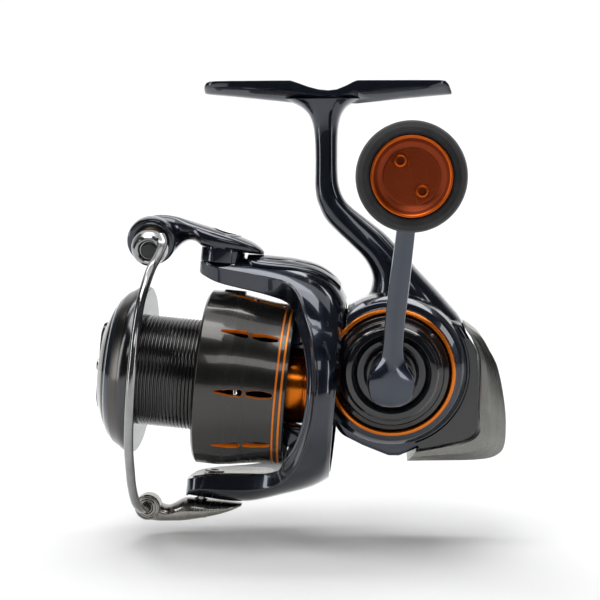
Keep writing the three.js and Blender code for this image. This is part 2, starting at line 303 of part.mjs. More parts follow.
add(shaft, "spool_lip_ring", turned([[15.3, 0.2], [23.4, 0.2], [23.8, -0.4], [R_LIP, -1.6], [R_LIP, -2.6], [22.2, -5.5], [21.0, -7.0], [18.9, -7.9], [18.9, -2.4], [15.3, -2.4]], "x", 54), GUN);
add(shaft, "hub_sleeve", ring(9.95, R_SLEEVE, 36.6, 49.2, "x", 40), ORANGE);
add(shaft, "spool_bearing", ring(2.35, 4.3, 13.0, 15.6, "x", 18), STEEL);
add(shaft, "click_ratchet", cut(gear(0, 9.4, 8.6, 18, 20.0, 21.2, "x"), rod(6.3, 10, 30, "x", 20)), POM);
add(shaft, "drag_felt_1", ring(2.9, 12.6, 5.5, 6.3, "x", 24), FELT);
add(shaft, "drag_washer_keyed_1", ring(2.35, 12.4, 4.4, 5.2, "x", 24), STEEL);
add(shaft, "drag_felt_2", ring(2.9, 12.6, 3.3, 4.1, "x", 24), FELT);
add(shaft, "drag_washer_keyed_2", ring(2.35, 12.4, 2.2, 3.0, "x", 24), STEEL);
add(shaft, "drag_felt_3", ring(2.9, 12.6, 1.1, 1.9, "x", 24), FELT);
add(shaft, "drag_retainer", ring(12.0, 13.1, 0.0, 0.7, "x", 24), STEEL);
add(shaft, "drag_nut", cut(gear(0, 4.6, 4.6, 6, -6.6, -3.4, "x"), rod(2.35, -10, 0, "x", 16)), BRASS);
const wave = [];
for (let i = 0; i <= 24; i++) { const t = (i / 24) * 2 * 2 * Math.PI; wave.push([-3.8 + (i / 24) * 2.6, 6.2 * Math.cos(t), 6.2 * Math.sin(t)]); }
add(shaft, "drag_spring", bar(wave, 0.4, 24, 4), STEEL);
const knob = turned([[0, -12.8], [3.8, -12.5], [7.0, -12.0], [9.9, -11.2], [13.1, -10.4], [15.0, -9.5], [18.2, -8.5], [18.5, -7.9], [18.5, -2.8], [15.2, -2.8], [12.6, -2.2], [11.6, -2.2], [11.6, -6.0], [9.0, -7.4], [0, -7.4]], "x", 40);
const grip = box(-14.0, -10.0, -2.2, 2.2, -14.2, 14.2);
const gripShape = turned([[0, -13.7], [6, -13.4], [11, -12.5], [14.4, -11.0], [15, -9.5], [0, -9.5]], "x", 40);
add(shaft, "drag_knob", union(knob, both(grip, gripShape)), BLACK);

export default group;
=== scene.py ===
import json
import math
import bmesh
import bpy
import numpy as np
from mathutils import Matrix, Vector


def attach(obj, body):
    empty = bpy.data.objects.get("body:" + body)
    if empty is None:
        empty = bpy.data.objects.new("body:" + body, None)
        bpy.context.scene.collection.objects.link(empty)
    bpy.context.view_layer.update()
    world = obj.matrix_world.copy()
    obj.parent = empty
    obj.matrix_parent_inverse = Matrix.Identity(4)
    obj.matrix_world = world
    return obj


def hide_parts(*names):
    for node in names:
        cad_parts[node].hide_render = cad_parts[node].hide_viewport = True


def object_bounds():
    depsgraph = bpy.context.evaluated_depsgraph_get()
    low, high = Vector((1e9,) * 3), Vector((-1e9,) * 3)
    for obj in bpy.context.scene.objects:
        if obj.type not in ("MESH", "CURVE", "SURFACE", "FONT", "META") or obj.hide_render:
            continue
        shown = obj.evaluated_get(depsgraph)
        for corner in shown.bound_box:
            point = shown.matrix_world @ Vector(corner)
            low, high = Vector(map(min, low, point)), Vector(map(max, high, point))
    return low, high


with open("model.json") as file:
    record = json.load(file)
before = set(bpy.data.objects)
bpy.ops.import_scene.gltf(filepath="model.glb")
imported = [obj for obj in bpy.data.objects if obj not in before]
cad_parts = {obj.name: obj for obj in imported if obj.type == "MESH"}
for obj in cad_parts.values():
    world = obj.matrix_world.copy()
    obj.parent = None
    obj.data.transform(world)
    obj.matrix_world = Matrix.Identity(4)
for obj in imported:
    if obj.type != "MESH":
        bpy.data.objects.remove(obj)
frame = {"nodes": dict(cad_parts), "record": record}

b0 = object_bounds()

# ------------------------------------------------------------------ frame, in millimetres
TAU = math.radians(5.4)
LIP = Vector((-53.5, 0, -82.0))
ES = Vector((math.cos(TAU), 0, -math.sin(TAU)))
EN = Vector((math.sin(TAU), 0, math.cos(TAU)))
GX, GZ = 17.9, -80.0
KX, KZ = 22.4, -27.1
SHAFT = Matrix(((ES.x, 0, EN.x, LIP.x), (0, 1, 0, 0), (ES.z, 0, EN.z, LIP.z), (0, 0, 0, 1)))
WORLD = Matrix.Identity(4)
GEAR = Matrix.Translation((GX, 0, GZ))
KNOB = Matrix.Translation((KX, 0, KZ))
_rv = Vector((1.0, -9.0, -2.1)).normalized()
ROLL = SHAFT @ Matrix.Translation((-0.7, -1.2, 37.0)) @ Vector((0, -1, 0)).rotation_difference(_rv).to_matrix().to_4x4()
MM = 0.001

# ------------------------------------------------------------------ camera
CAZ, CEL, CD, CF = math.radians(3.7), math.radians(4.6), 400.0, 1400.0
_c = Vector((math.sin(CAZ) * math.cos(CEL), -math.cos(CAZ) * math.cos(CEL), math.sin(CEL)))
_r = Vector((math.cos(CAZ), math.sin(CAZ), 0))
_u = Vector((-math.sin(CAZ) * math.sin(CEL), math.cos(CAZ) * math.sin(CEL), math.cos(CEL)))
TARGET = Vector((-8.246, 0, -61.730))
cam_data = bpy.data.cameras.new("camera")
cam_data.lens, cam_data.sensor_width = CF / 600 * 36, 36
cam_data.clip_start, cam_data.clip_end = 0.01, 20
cam = bpy.data.objects.new("camera", cam_data)
bpy.context.collection.objects.link(cam)
rot = Matrix((_r, _u, _c)).transposed().to_4x4()
cam.matrix_world = Matrix.Translation((TARGET + _c * CD) * MM) @ rot
bpy.context.scene.camera = cam


# ------------------------------------------------------------------ materials
def new_mat(name):
    m = bpy.data.materials.new(name)
    m.use_nodes = True
    nt = m.node_tree
    nt.nodes.clear()
    out = nt.nodes.new("ShaderNodeOutputMaterial")
    bsdf = nt.nodes.new("ShaderNodeBsdfPrincipled")
    nt.links.new(bsdf.outputs[0], out.inputs[0])
    return m, nt, bsdf


def coords(nt, scale=(1, 1, 1), rotation=(0, 0, 0), kind="Object"):
    tc = nt.nodes.new("ShaderNodeTexCoord")
    mp = nt.nodes.new("ShaderNodeMapping")
    mp.inputs["Scale"].default_value = scale
    mp.inputs["Rotation"].default_value = rotation
    nt.links.new(tc.outputs[kind], mp.inputs[0])
    return mp.outputs[0]


def noise(nt, vec, scale, detail=3.0, rough=0.55):
    n = nt.nodes.new("ShaderNodeTexNoise")
    n.inputs["Scale"].default_value = scale
    n.inputs["Detail"].default_value = detail
    n.inputs["Roughness"].default_value = rough
    nt.links.new(vec, n.inputs["Vector"])
    return n.outputs["Fac"]


def ramp(nt, fac, stops):
    r = nt.nodes.new("ShaderNodeValToRGB")
    e = r.color_ramp.elements
    while len(e) < len(stops):
        e.new(0.5)
    for i, (p, c) in enumerate(stops):
        e[i].position = p
        e[i].color = (*c, 1) if len(c) == 3 else c
    nt.links.new(fac, r.inputs[0])
    return r.outputs[0]


def maprange(nt, fac, lo, hi, a=0.0, b=1.0):
    r = nt.nodes.new("ShaderNodeMapRange")
    for k, v in zip((1, 2, 3, 4), (a, b, lo, hi)):
        r.inputs[k].default_value = v
    nt.links.new(fac, r.inputs[0])
    return r.outputs[0]


def bump(nt, height, strength, dist, normal=None):
    b = nt.nodes.new("ShaderNodeBump")
    b.inputs["Strength"].default_value = strength
    b.inputs["Distance"].default_value = dist
    nt.links.new(height, b.inputs["Height"])
    if normal is not None:
        nt.links.new(normal, b.inputs["Normal"])
    return b.outputs[0]


def mix(nt, fac, a, b):
    m = nt.nodes.new("ShaderNodeMix")
    m.data_type = "RGBA"
    for sock, v in ((m.inputs[0], fac), (m.inputs[6], a), (m.inputs[7], b)):
        if isinstance(v, (int, float)):
            sock.default_value = v
        elif isinstance(v, tuple):
            sock.default_value = (*v, 1)
        else:
            nt.links.new(v, sock)
    return m.outputs[2]


def convex_edge_mask(nt, lo=0.53, hi=0.62):
    g = nt.nodes.new("ShaderNodeNewGeometry")
    return maprange(nt, g.outputs["Pointiness"], 0, 1, lo, hi)


def paint(name, dark, mid, flake, rough=0.3, coat=1.0, metallic=0.7):
    """Metallic lacquer: deep base, fine flake, clear coat, and a painted highlight along convex edges."""
    m, nt, b = new_mat(name)
    v = coords(nt)
    vo = nt.nodes.new("ShaderNodeTexVoronoi")
    vo.inputs["Scale"].default_value = 9000
    nt.links.new(v, vo.inputs["Vector"])
    sep = nt.nodes.new("ShaderNodeSeparateColor")
    nt.links.new(vo.outputs["Color"], sep.inputs[0])
    spark = maprange(nt, sep.outputs[0], 0, 0.22, 0.80, 1.0)
    cloud = maprange(nt, noise(nt, v, 60, 4), 0, 1, 0.3, 0.7)
    base = mix(nt, cloud, dark, mid)
    col = mix(nt, spark, base, flake)
    # painted highlight: convex edges are lightened towards a brighter copy of the mid colour, standing in for bright
    # bevel lines
    col = mix(nt, maprange(nt, convex_edge_mask(nt, 0.56, 0.66), 0, 0.30), col, tuple(min(1, x * 2.0 + 0.02) for x in mid))
    nt.links.new(col, b.inputs["Base Color"])
    b.inputs["Metallic"].default_value = metallic
    nt.links.new(maprange(nt, noise(nt, v, 320, 3), rough - 0.03, rough + 0.04, 0.3, 0.7), b.inputs["Roughness"])
    b.inputs["Coat Weight"].default_value = coat
    b.inputs["Coat Roughness"].default_value = 0.025
    b.inputs["Coat IOR"].default_value = 1.55
    return m


def gloss(name, dark, mid, rough=0.08, metallic=0.0, coat=0.6):
    m, nt, b = new_mat(name)
    v = coords(nt)
    nt.links.new(mix(nt, maprange(nt, noise(nt, v, 90, 4), 0, 1, 0.35, 0.7), dark, mid), b.inputs["Base Color"])
    b.inputs["Metallic"].default_value = metallic
    nt.links.new(maprange(nt, noise(nt, v, 420, 4), rough, rough + 0.09, 0.35, 0.75), b.inputs["Roughness"])
    b.inputs["Coat Weight"].default_value = coat
    b.inputs["Coat Roughness"].default_value = 0.03
    nt.links.new(bump(nt, noise(nt, v, 160, 2), 0.04, 0.0002), b.inputs["Normal"])
    return m


def turned(name, matrix, axis, a, b_, rough=0.25, pitch=2600, strength=0.12, metallic=1.0, coat=0.0, wear=None):
    """Metal with fine lathe lines about the piece's own axis; the lines are stepped along it and across its faces."""
    m, nt, b = new_mat(name)
    inv = matrix.inverted()
    g = coords(nt)
    vec = nt.nodes.new("ShaderNodeVectorMath")
    vec.operation = "SCALE"
    vec.inputs["Scale"].default_value = 1000.0
    nt.links.new(g, vec.inputs[0])
    # distance along the axis and out from it, in mm
    ax = Vector([inv[axis][i] for i in range(3)])
    off = inv[axis][3]
    dot = nt.nodes.new("ShaderNodeVectorMath")
    dot.operation = "DOT_PRODUCT"
    dot.inputs[1].default_value = ax
    nt.links.new(vec.outputs[0], dot.inputs[0])
    along = nt.nodes.new("ShaderNodeMath")
    along.operation = "ADD"
    along.inputs[1].default_value = off
    nt.links.new(dot.outputs["Value"], along.inputs[0])
    ctr = matrix.translation
    sub = nt.nodes.new("ShaderNodeVectorMath")
    sub.operation = "SUBTRACT"
    sub.inputs[1].default_value = ctr
    nt.links.new(vec.outputs[0], sub.inputs[0])
    crs = nt.nodes.new("ShaderNodeVectorMath")
    crs.operation = "CROSS_PRODUCT"
    crs.inputs[1].default_value = ax
    nt.links.new(sub.outputs[0], crs.inputs[0])
    ln = nt.nodes.new("ShaderNodeVectorMath")
    ln.operation = "LENGTH"
    nt.links.new(crs.outputs[0], ln.inputs[0])
    comb = nt.nodes.new("ShaderNodeCombineXYZ")
    nt.links.new(along.outputs[0], comb.inputs[0])
    nt.links.new(ln.outputs["Value"], comb.inputs[1])
    lines = noise(nt, comb.outputs[0], pitch / 1000.0 * 6, 2, 0.6)
    broad = noise(nt, comb.outputs[0], 0.35, 2)
    grime = noise(nt, g, 90, 4)
    col = mix(nt, maprange(nt, lines, 0, 1, 0.3, 0.7), a, b_)
    col = mix(nt, maprange(nt, grime, 0, 0.22, 0.45, 0.8), col, tuple(x * 0.6 for x in a))
    if wear:
        col = mix(nt, maprange(nt, convex_edge_mask(nt, 0.52, 0.6), 0, 0.75), col, wear)
    nt.links.new(col, b.inputs["Base Color"])
    b.inputs["Metallic"].default_value = metallic
    nt.links.new(maprange(nt, broad, rough - 0.025, rough + 0.03, 0.3, 0.7), b.inputs["Roughness"])
    b.inputs["Anisotropic"].default_value = 0.45
    b.inputs["Coat Weight"].default_value = coat
    b.inputs["Coat Roughness"].default_value = 0.06
    if strength > 0:
        nt.links.new(bump(nt, lines, strength, 0.00006), b.inputs["Normal"])
    return m


def brushed(name, a, b_, rough=0.28, direction=(1, 1, 40), scale=60, metallic=1.0, strength=0.08):
    m, nt, b = new_mat(name)
    v = coords(nt, scale=direction)
    lines = noise(nt, v, scale, 4, 0.65)
    cloud = noise(nt, coords(nt), 70, 4)
    col = mix(nt, maprange(nt, lines, 0, 1, 0.3, 0.7), a, b_)
    col = mix(nt, maprange(nt, cloud, 0, 0.4, 0.45, 0.8), col, tuple(x * 0.6 for x in a))
    nt.links.new(col, b.inputs["Base Color"])
    b.inputs["Metallic"].default_value = metallic
    nt.links.new(maprange(nt, lines, rough - 0.05, rough + 0.08, 0.3, 0.7), b.inputs["Roughness"])
    nt.links.new(bump(nt, lines, strength, 0.00005), b.inputs["Normal"])
    return m


def foam(name):
    m, nt, b = new_mat(name)
    v = coords(nt)
    cells = nt.nodes.new("ShaderNodeTexVoronoi")
    cells.inputs["Scale"].default_value = 2600
    nt.links.new(v, cells.inputs["Vector"])
    fine = noise(nt, v, 5200, 4, 0.7)
    cloud = noise(nt, v, 220, 4)
    col = mix(nt, maprange(nt, cloud, 0, 1, 0.35, 0.7), (0.010, 0.010, 0.011), (0.022, 0.022, 0.024))
    col = mix(nt, maprange(nt, fine, 0, 0.5, 0.5, 0.8), col, (0.05, 0.05, 0.052))
    nt.links.new(col, b.inputs["Base Color"])
    b.inputs["Roughness"].default_value = 0.86
    b.inputs["Specular IOR Level"].default_value = 0.28
    b.inputs["Sheen Weight"].default_value = 0.12
    b.inputs["Sheen Roughness"].default_value = 0.5
    nt.links.new(bump(nt, fine, 0.25, 0.00008, bump(nt, cells.outputs["Distance"], 0.35, 0.00012)), b.inputs["Normal"])
    return m


def plain(name, a, b_, rough, metallic=0.0, scale=300, strength=0.1):
    m, nt, b = new_mat(name)
    v = coords(nt)
    n = noise(nt, v, scale, 5, 0.65)
    nt.links.new(mix(nt, maprange(nt, n, 0, 1, 0.3, 0.7), a, b_), b.inputs["Base Color"])
    b.inputs["Metallic"].default_value = metallic
    nt.links.new(maprange(nt, n, rough - 0.05, rough + 0.05, 0.3, 0.7), b.inputs["Roughness"])
    nt.links.new(bump(nt, n, strength, 0.0001), b.inputs["Normal"])
    return m


NAVY = paint("navy_metallic", (0.0045, 0.0075, 0.0155), (0.009, 0.0145, 0.028), (0.04, 0.065, 0.11), 0.22)
# a lighter, lit copy of the navy paint: painted light on the crank arm and hub, and a painted navy reflection band on
# the spool lip
NAVY_LIT = paint("navy_metallic_lit_copy", (0.009, 0.014, 0.028), (0.016, 0.025, 0.045), (0.06, 0.09, 0.14), 0.16)
BLACK = gloss("gloss_black", (0.0018, 0.0018, 0.0026), (0.004, 0.004, 0.006), 0.05)
BLACK_S = gloss("satin_black", (0.004, 0.004, 0.005), (0.010, 0.010, 0.012), 0.28, coat=0.1)
SILVER = brushed("satin_silver", (0.20, 0.20, 0.185), (0.25, 0.25, 0.235), 0.27, (1, 40, 1), 60, strength=0.04)
SILVER_D = brushed("gunmetal_cover", (0.16, 0.16, 0.155), (0.24, 0.24, 0.235), 0.30, (40, 1, 1), 40)
CHROME = plain("polished_chrome", (0.58, 0.59, 0.60), (0.70, 0.71, 0.72), 0.09, 1.0, 200, 0.03)
DCHROME = plain("black_chrome", (0.26, 0.26, 0.26), (0.34, 0.34, 0.34), 0.12, 1.0, 200, 0.02)
STEEL = brushed("ground_steel", (0.42, 0.43, 0.44), (0.58, 0.59, 0.6), 0.26, (1, 1, 1), 900)
BRASS = brushed("gear_brass", (0.52, 0.37, 0.15), (0.66, 0.5, 0.24), 0.3, (1, 1, 1), 900)
ACETAL = plain("acetal", (0.60, 0.59, 0.54), (0.70, 0.69, 0.64), 0.45)
FELT = plain("pressed_felt", (0.13, 0.115, 0.09), (0.24, 0.21, 0.17), 0.95, 0, 3800, 0.6)
FOAM = foam("eva_foam")
O1, O2 = (0.62, 0.150, 0.010), (0.72, 0.19, 0.015)
ORANGE_G = turned("orange_ring", GEAR, 1, O1, O2, 0.24, 2200, 0.03, 0.8)
ORANGE_S = turned("orange_sleeve", SHAFT, 0, (0.62, 0.140, 0.008), (0.74, 0.19, 0.012), 0.20, 2600, 0.04, 0.95)
ORANGE_E = turned("orange_edge", SHAFT, 0, (0.78, 0.22, 0.012), (0.86, 0.28, 0.02), 0.30, 2600, 0.02, 0.5)
ORANGE_K = turned("orange_cap", KNOB, 1, (0.42, 0.070, 0.004), (0.50, 0.092, 0.006), 0.30, 2600, 0.0, 0.85)
# a darker copy of the cap orange: painted shade for the cap's recess and pin holes
ORANGE_CAP_SHADE = turned("orange_cap_painted_shade", KNOB, 1, (0.20, 0.026, 0.002), (0.25, 0.036, 0.003), 0.42, 2600, 0.0, 0.7)
ORANGE_R = turned("orange_collar", ROLL, 1, (0.80, 0.43, 0.055), (0.90, 0.50, 0.08), 0.24, 2200, 0.04, 0.8)
GUN = turned("gunmetal_turned", SHAFT, 0, (0.040, 0.038, 0.036), (0.045, 0.043, 0.0405), 0.26, 2800, 0.0, 0.9, 0.7)
DRUM = turned("drum_turned", SHAFT, 0, (0.075, 0.075, 0.076), (0.095, 0.093, 0.09), 0.22, 3000, 0.0, 1.0)
LIPM = turned("lip_metal", SHAFT, 0, (0.075, 0.075, 0.078), (0.092, 0.092, 0.094), 0.18, 2600, 0.0, 1.0)
# painted reflection and painted highlight bands for the spool lip
LIP_REFLECTION = turned("lip_painted_reflection", SHAFT, 0, (0.085, 0.080, 0.075), (0.10, 0.095, 0.09), 0.20, 2600, 0.0, 1.0)
LIP_HIGHLIGHT = turned("lip_painted_highlight", SHAFT, 0, (0.26, 0.265, 0.265), (0.32, 0.325, 0.325), 0.24, 2600, 0.0, 1.0)
SILVER_W = brushed("champagne_metal", (0.30, 0.29, 0.26), (0.38, 0.37, 0.34), 0.22, (40, 1, 1), 40)


# ------------------------------------------------------------------ geometry helpers
def link(me, name, mats, smooth_angle=32):
    ob = bpy.data.objects.new(name, me)
    bpy.context.collection.objects.link(ob)
    for m in mats if isinstance(mats, (list, tuple)) else [mats]:
        me.materials.append(m)
    shade(ob, smooth_angle)
    return ob


def shade(ob, angle=32):
    me = ob.data
    me.polygons.foreach_set("use_smooth", [True] * len(me.polygons))
    me.set_sharp_from_angle(angle=math.radians(angle))
    me.update()


def make(name, verts, faces, mats, M=WORLD, face_mats=None, angle=32):
    """verts in mm in the frame M; faces may share coincident points, which are merged."""
    me = bpy.data.meshes.new(name)
    me.from_pydata([tuple((M @ Vector(v)) * MM) for v in verts], [], [tuple(f) for f in faces])
    if face_mats:
        me.polygons.foreach_set("material_index", face_mats)
    bm = bmesh.new()
    bm.from_mesh(me)
    bmesh.ops.remove_doubles(bm, verts=bm.verts, dist=1e-7)
    bmesh.ops.dissolve_degenerate(bm, edges=bm.edges, dist=1e-7)
    bmesh.ops.recalc_face_normals(bm, faces=bm.faces)
    bm.to_mesh(me)
    bm.free()
    me.validate()
    return link(me, name, mats, angle)


def spline(rows, n):
    """Rows of numbers, evenly resampled by a centripetal-like Catmull-Rom through all of them."""
    a = np.array(rows, float)
    d = np.linalg.norm(np.diff(a, axis=0), axis=1) ** 0.5
    t = np.concatenate([[0], np.cumsum(d)])
    out = []
    for x in np.linspace(0, t[-1], n):
        i = min(max(int(np.searchsorted(t, x)) - 1, 0), len(a) - 2)
        p0, p1, p2, p3 = a[max(i - 1, 0)], a[i], a[i + 1], a[min(i + 2, len(a) - 1)]
        t0, t1, t2, t3 = t[max(i - 1, 0)], t[i], t[i + 1], t[min(i + 2, len(a) - 1)]
        h = t2 - t1
        m1 = (p2 - p0) / max(t2 - t0, 1e-9)
        m2 = (p3 - p1) / max(t3 - t1, 1e-9)
        u = (x - t1) / h
        out.append((2 * u**3 - 3 * u**2 + 1) * p1 + (u**3 - 2 * u**2 + u) * h * m1 + (-2 * u**3 + 3 * u**2) * p2 + (u**3 - u**2) * h * m2)
    return [list(map(float, r)) for r in out]


def fillet(pts, rads, n=4, closed=False):
    """Rounds the corners of a 2D line: rads is one radius or one for each point."""
    if isinstance(rads, (int, float)):
        rads = [rads] * len(pts)
    out = []
    N = len(pts)
    for i, (p, r) in enumerate(zip(pts, rads)):
        if (not closed and i in (0, N - 1)) or r <= 0:
            out.append(tuple(p))
            continue
        a, b, c = (np.array(q[:2], float) for q in (pts[i - 1], p, pts[(i + 1) % N]))
        u, w = a - b, c - b
        lu, lw = np.linalg.norm(u), np.linalg.norm(w)
        if lu < 1e-6 or lw < 1e-6:
            out.append(tuple(p))
            continue
        u, w = u / lu, w / lw
        ang = math.acos(max(-1, min(1, float(u @ w))))
        if ang > math.pi - 0.05:
            out.append(tuple(p))
            continue
        d = min(r / math.tan(ang / 2), lu * 0.48, lw * 0.48)
        rr = d * math.tan(ang / 2)
        ctr = b + (u + w) / np.linalg.norm(u + w) * (rr / math.sin(ang / 2))
        s, e = b + u * d - ctr, b + w * d - ctr
        a0 = math.atan2(s[1], s[0])
        da = math.atan2(e[1], e[0]) - a0
        while da > math.pi:
            da -= 2 * math.pi
        while da < -math.pi:
            da += 2 * math.pi
        for k in range(n + 1):
            q = a0 + da * k / n
            out.append((float(ctr[0] + rr * math.cos(q)), float(ctr[1] + rr * math.sin(q))))
    return out


def lathe(name, profile, mats, M=SHAFT, axis="x", seg=128, seg_mats=None, angle=32):
    """profile of (radius, along); seg_mats gives each profile step's material index."""
    closed = profile[0][0] > 1e-6 or profile[-1][0] > 1e-6
    n = len(profile)
    verts, faces, fm = [], [], []
    for j in range(seg):
        t = 2 * math.pi * j / seg
        c, s = math.cos(t), math.sin(t)
        for r, a in profile:
            verts.append((a, r * c, r * s) if axis == "x" else (r * c, a, r * s) if axis == "y" else (r * c, r * s, a))
    for j in range(seg):
        k = (j + 1) % seg
        for i in range(n if closed else n - 1):
            i2 = (i + 1) % n
            q = [j * n + i, j * n + i2, k * n + i2, k * n + i]
            if profile[i][0] < 1e-6 and profile[i2][0] < 1e-6:
                continue
            if profile[i][0] < 1e-6:
                q = [j * n + i, j * n + i2, k * n + i2]
            elif profile[i2][0] < 1e-6:
                q = [j * n + i, j * n + i2, k * n + i]
            faces.append(q)
            fm.append(seg_mats[i] if seg_mats else 0)
    return make(name, verts, faces, mats, M, fm, angle)


def loft(name, rings, mats, M=WORLD, angle=40, closed=False):
    n = len(rings[0])
    verts = [p for r in rings for p in r]
    faces = []
    m = len(rings)
    for k in range(m if closed else m - 1):
        k2 = (k + 1) % m
        for i in range(n):
            j = (i + 1) % n
            faces.append((k * n + i, k * n + j, k2 * n + j, k2 * n + i))
    if not closed:
        faces.append(tuple(range(n - 1, -1, -1)))
        faces.append(tuple(range((m - 1) * n, m * n)))
    return make(name, verts, faces, mats, M, None, angle)


def sect(w, lo, hi, n=40, e=3.0):
    c, h = (lo + hi) / 2, (hi - lo) / 2
    out = []
    for i in range(n):
        t = 2 * math.pi * (i + 0.5) / n
        x, y = math.cos(t), math.sin(t)
        out.append((w * math.copysign(abs(x) ** (2 / e), x), c + h * math.copysign(abs(y) ** (2 / e), y)))
    return out


def poly_prism(name, pts, a, b, mats, M=WORLD, plane="xz", angle=32):
    """Outline carried from a to b across its plane."""
    n = len(pts)
    P = (lambda x, z, d: (x, d, z)) if plane == "xz" else (lambda x, y, d: (x, y, d))
    verts = [P(x, z, a) for x, z in pts] + [P(x, z, b) for x, z in pts]
    faces = [tuple(range(n)), tuple(range(2 * n - 1, n - 1, -1))] + [(i, n + i, n + (i + 1) % n, (i + 1) % n) for i in range(n)]
    return make(name, verts, faces, mats, M, None, angle)


def boxm(name, x0, x1, y0, y1, z0, z1, mats, M=WORLD):
    return poly_prism(name, [(x0, z0), (x1, z0), (x1, z1), (x0, z1)], y0, y1, mats, M)


def sweep(name, pts, radius, mats, M=WORLD, n=120, sides=20, flat=None):
    """Tube through pts (rows x, y, z); radius is a number or a function of 0..1; flat(t) gives the thinner half as a share."""
    P = np.array(spline(pts, n))
    T = np.gradient(P, axis=0)
    T /= np.linalg.norm(T, axis=1)[:, None]
    up = np.array([1.0, 0, 0])
    rings = []
    for i in range(n):
        u = up - T[i] * (up @ T[i])
        u /= np.linalg.norm(u)
        w = np.cross(T[i], u)
        t = i / (n - 1)
        r = radius(t) if callable(radius) else radius
        k = flat(t) if flat else 1.0
        rings.append([tuple(P[i] + r * (math.cos(q) * u * 1.0 + math.sin(q) * w * k)) for q in (2 * math.pi * j / sides for j in range(sides))])
    return loft(name, rings, mats, M, 60)


def boolean(ob, others, op="DIFFERENCE", angle=32, transfer=False):
    """Applies exact booleans one after another and keeps the result as the mesh."""
    for o in others:
        md = ob.modifiers.new("b", "BOOLEAN")
        md.operation, md.solver, md.object = op, "EXACT", o
        if transfer:
            md.material_mode = "TRANSFER"
        dg = bpy.context.evaluated_depsgraph_get()
        me = bpy.data.meshes.new_from_object(ob.evaluated_get(dg))
        ob.modifiers.clear()
        old = ob.data
        ob.data = me
        bpy.data.meshes.remove(old)
        bpy.data.objects.remove(o)
    shade(ob, angle)
    return ob


def bevel(ob, width, segs=3, angle=35):
    md = ob.modifiers.new("edges", "BEVEL")
    md.width, md.segments, md.limit_method, md.angle_limit = width * MM, segs, "ANGLE", math.radians(angle)
    md.use_clamp_overlap = True
    md.harden_normals = True
    return ob


def bake_mods(ob, angle=32):
    dg = bpy.context.evaluated_depsgraph_get()
    me = bpy.data.meshes.new_from_object(ob.evaluated_get(dg))
    ob.modifiers.clear()
    ob.data = me
    shade(ob, angle)
    return ob


def piece(ob, body, slot, *nodes):
    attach(ob, body)
    if nodes:
        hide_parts(*nodes)
    return ob


def interp(x, table):
    xs, ys = zip(*table)
    return float(np.interp(x, xs, ys))


def smooth_table(table, n=200):
    s = spline([list(t) for t in table], n)
    return [(a, b) for a, b in s]


# ------------------------------------------------------------------ body: foot, stem, housing
FOOT = [  # x, half width, top, bottom
    [-35.2, 2.2, -1.5, -3.1], [-34.9, 3.6, -0.95, -3.35], [-34.2, 4.8, -0.35, -3.5], [-33.0, 5.7, -0.08, -3.65], [-31, 6.35, 0, -3.85], [-27, 6.8, 0, -4.2],
    [-20, 7.1, 0, -4.9], [-13, 7.4, 0, -5.6], [-10.4, 7.5, -0.02, -5.9], [-8.2, 7.5, -0.75, -6.0], [-5.5, 7.5, -1.75, -6.1], [-2.6, 7.5, -2.5, -6.2], [0, 7.5, -2.75, -6.2], [2.4, 7.5, -2.5, -6.25],
    [5.0, 7.5, -1.45, -6.25], [7.2, 7.5, -0.35, -6.2], [8.2, 7.5, -0.02, -6.15], [12, 7.3, 0, -5.8], [20, 6.95, 0, -5.0], [27, 6.6, 0, -4.4], [31, 6.2, 0, -4.05], [32.4, 5.5, -0.15, -3.95], [33.4, 4.7, -1.1, -3.85], [34.2, 3.5, -2.9, -3.8]]


def foot_ring(x, w, zt, zb):
    h = zt - zb
    b = 0.45
    half = [(0, zt), (w * 0.5, zt - 0.005), (w - b, zt - 0.03), (w - b * 0.3, zt - b * 0.3), (w, zt - b), (w, zt - 0.42 * h), (w - 0.10 * h, zt - 0.50 * h), (w - 0.62 * h, zt - 0.86 * h), (w - 0.85 * h, zb + 0.02 * h), (w * 0.3, zb)]
    half = [(max(y, 0.0), z) for y, z in half]
    pts = half + [(0, zb)] + [(-y, z) for y, z in reversed(half[1:])]
    return [(x, y, z) for y, z in pts]


foot_rows = []
for i in range(len(FOOT) - 1):
    foot_rows.append(FOOT[i])
foot_rows.append(FOOT[-1])
body = loft("body_frame_shell", [foot_ring(*r) for r in foot_rows], NAVY, angle=30)

STEM = [[-5.0, -12.9, 9.9, 6.9], [-5.9, -10.6, 7.2, 6.4], [-7.2, -7.9, 5.0, 5.8], [-9.2, -5.8, 3.6, 5.25], [-12, -4.6, 2.8, 4.75], [-15.5, -4.1, 2.5, 4.5], [-20, -3.9, 2.45, 4.4], [-25, -3.9, 2.5, 4.4], [-29, -3.95, 2.85, 4.45], [-32.4, -3.6, 4.1, 4.6],
    [-34.9, -2.8, 6.2, 4.9], [-38.6, -1.0, 10.9, 5.4], [-42.3, 2.4, 15.6, 6.1], [-45.4, 5.7, 18.7, 6.8], [-49.1, 9.4, 22.1, 7.7], [-52.2, 11.4, 24.8, 8.5], [-55.3, 12.3, 27.7, 9.2], [-58.5, 11.8, 30.7, 9.8], [-61.6, 10.2, 33.4, 10.2], [-67.0, 7.2, 37.7, 10.6], [-74, 6, 40, 10.8]]


def stem_ring(z, xl, xr, t, n=56):
    # broad flat sides with chamfered, softly rounded corners; the front corner's chamfer is wider
    c, h = (xl + xr) / 2, (xr - xl) / 2
    out = []
    for i in range(n):
        q = 2 * math.pi * (i + 0.5) / n
        x, y = math.cos(q), math.sin(q)
        e = 3.0 if x > 0 else 2.35
        out.append((c + h * math.copysign(abs(x) ** (2 / e), x), t * math.copysign(abs(y) ** (2 / 2.6), y), z))
    return out


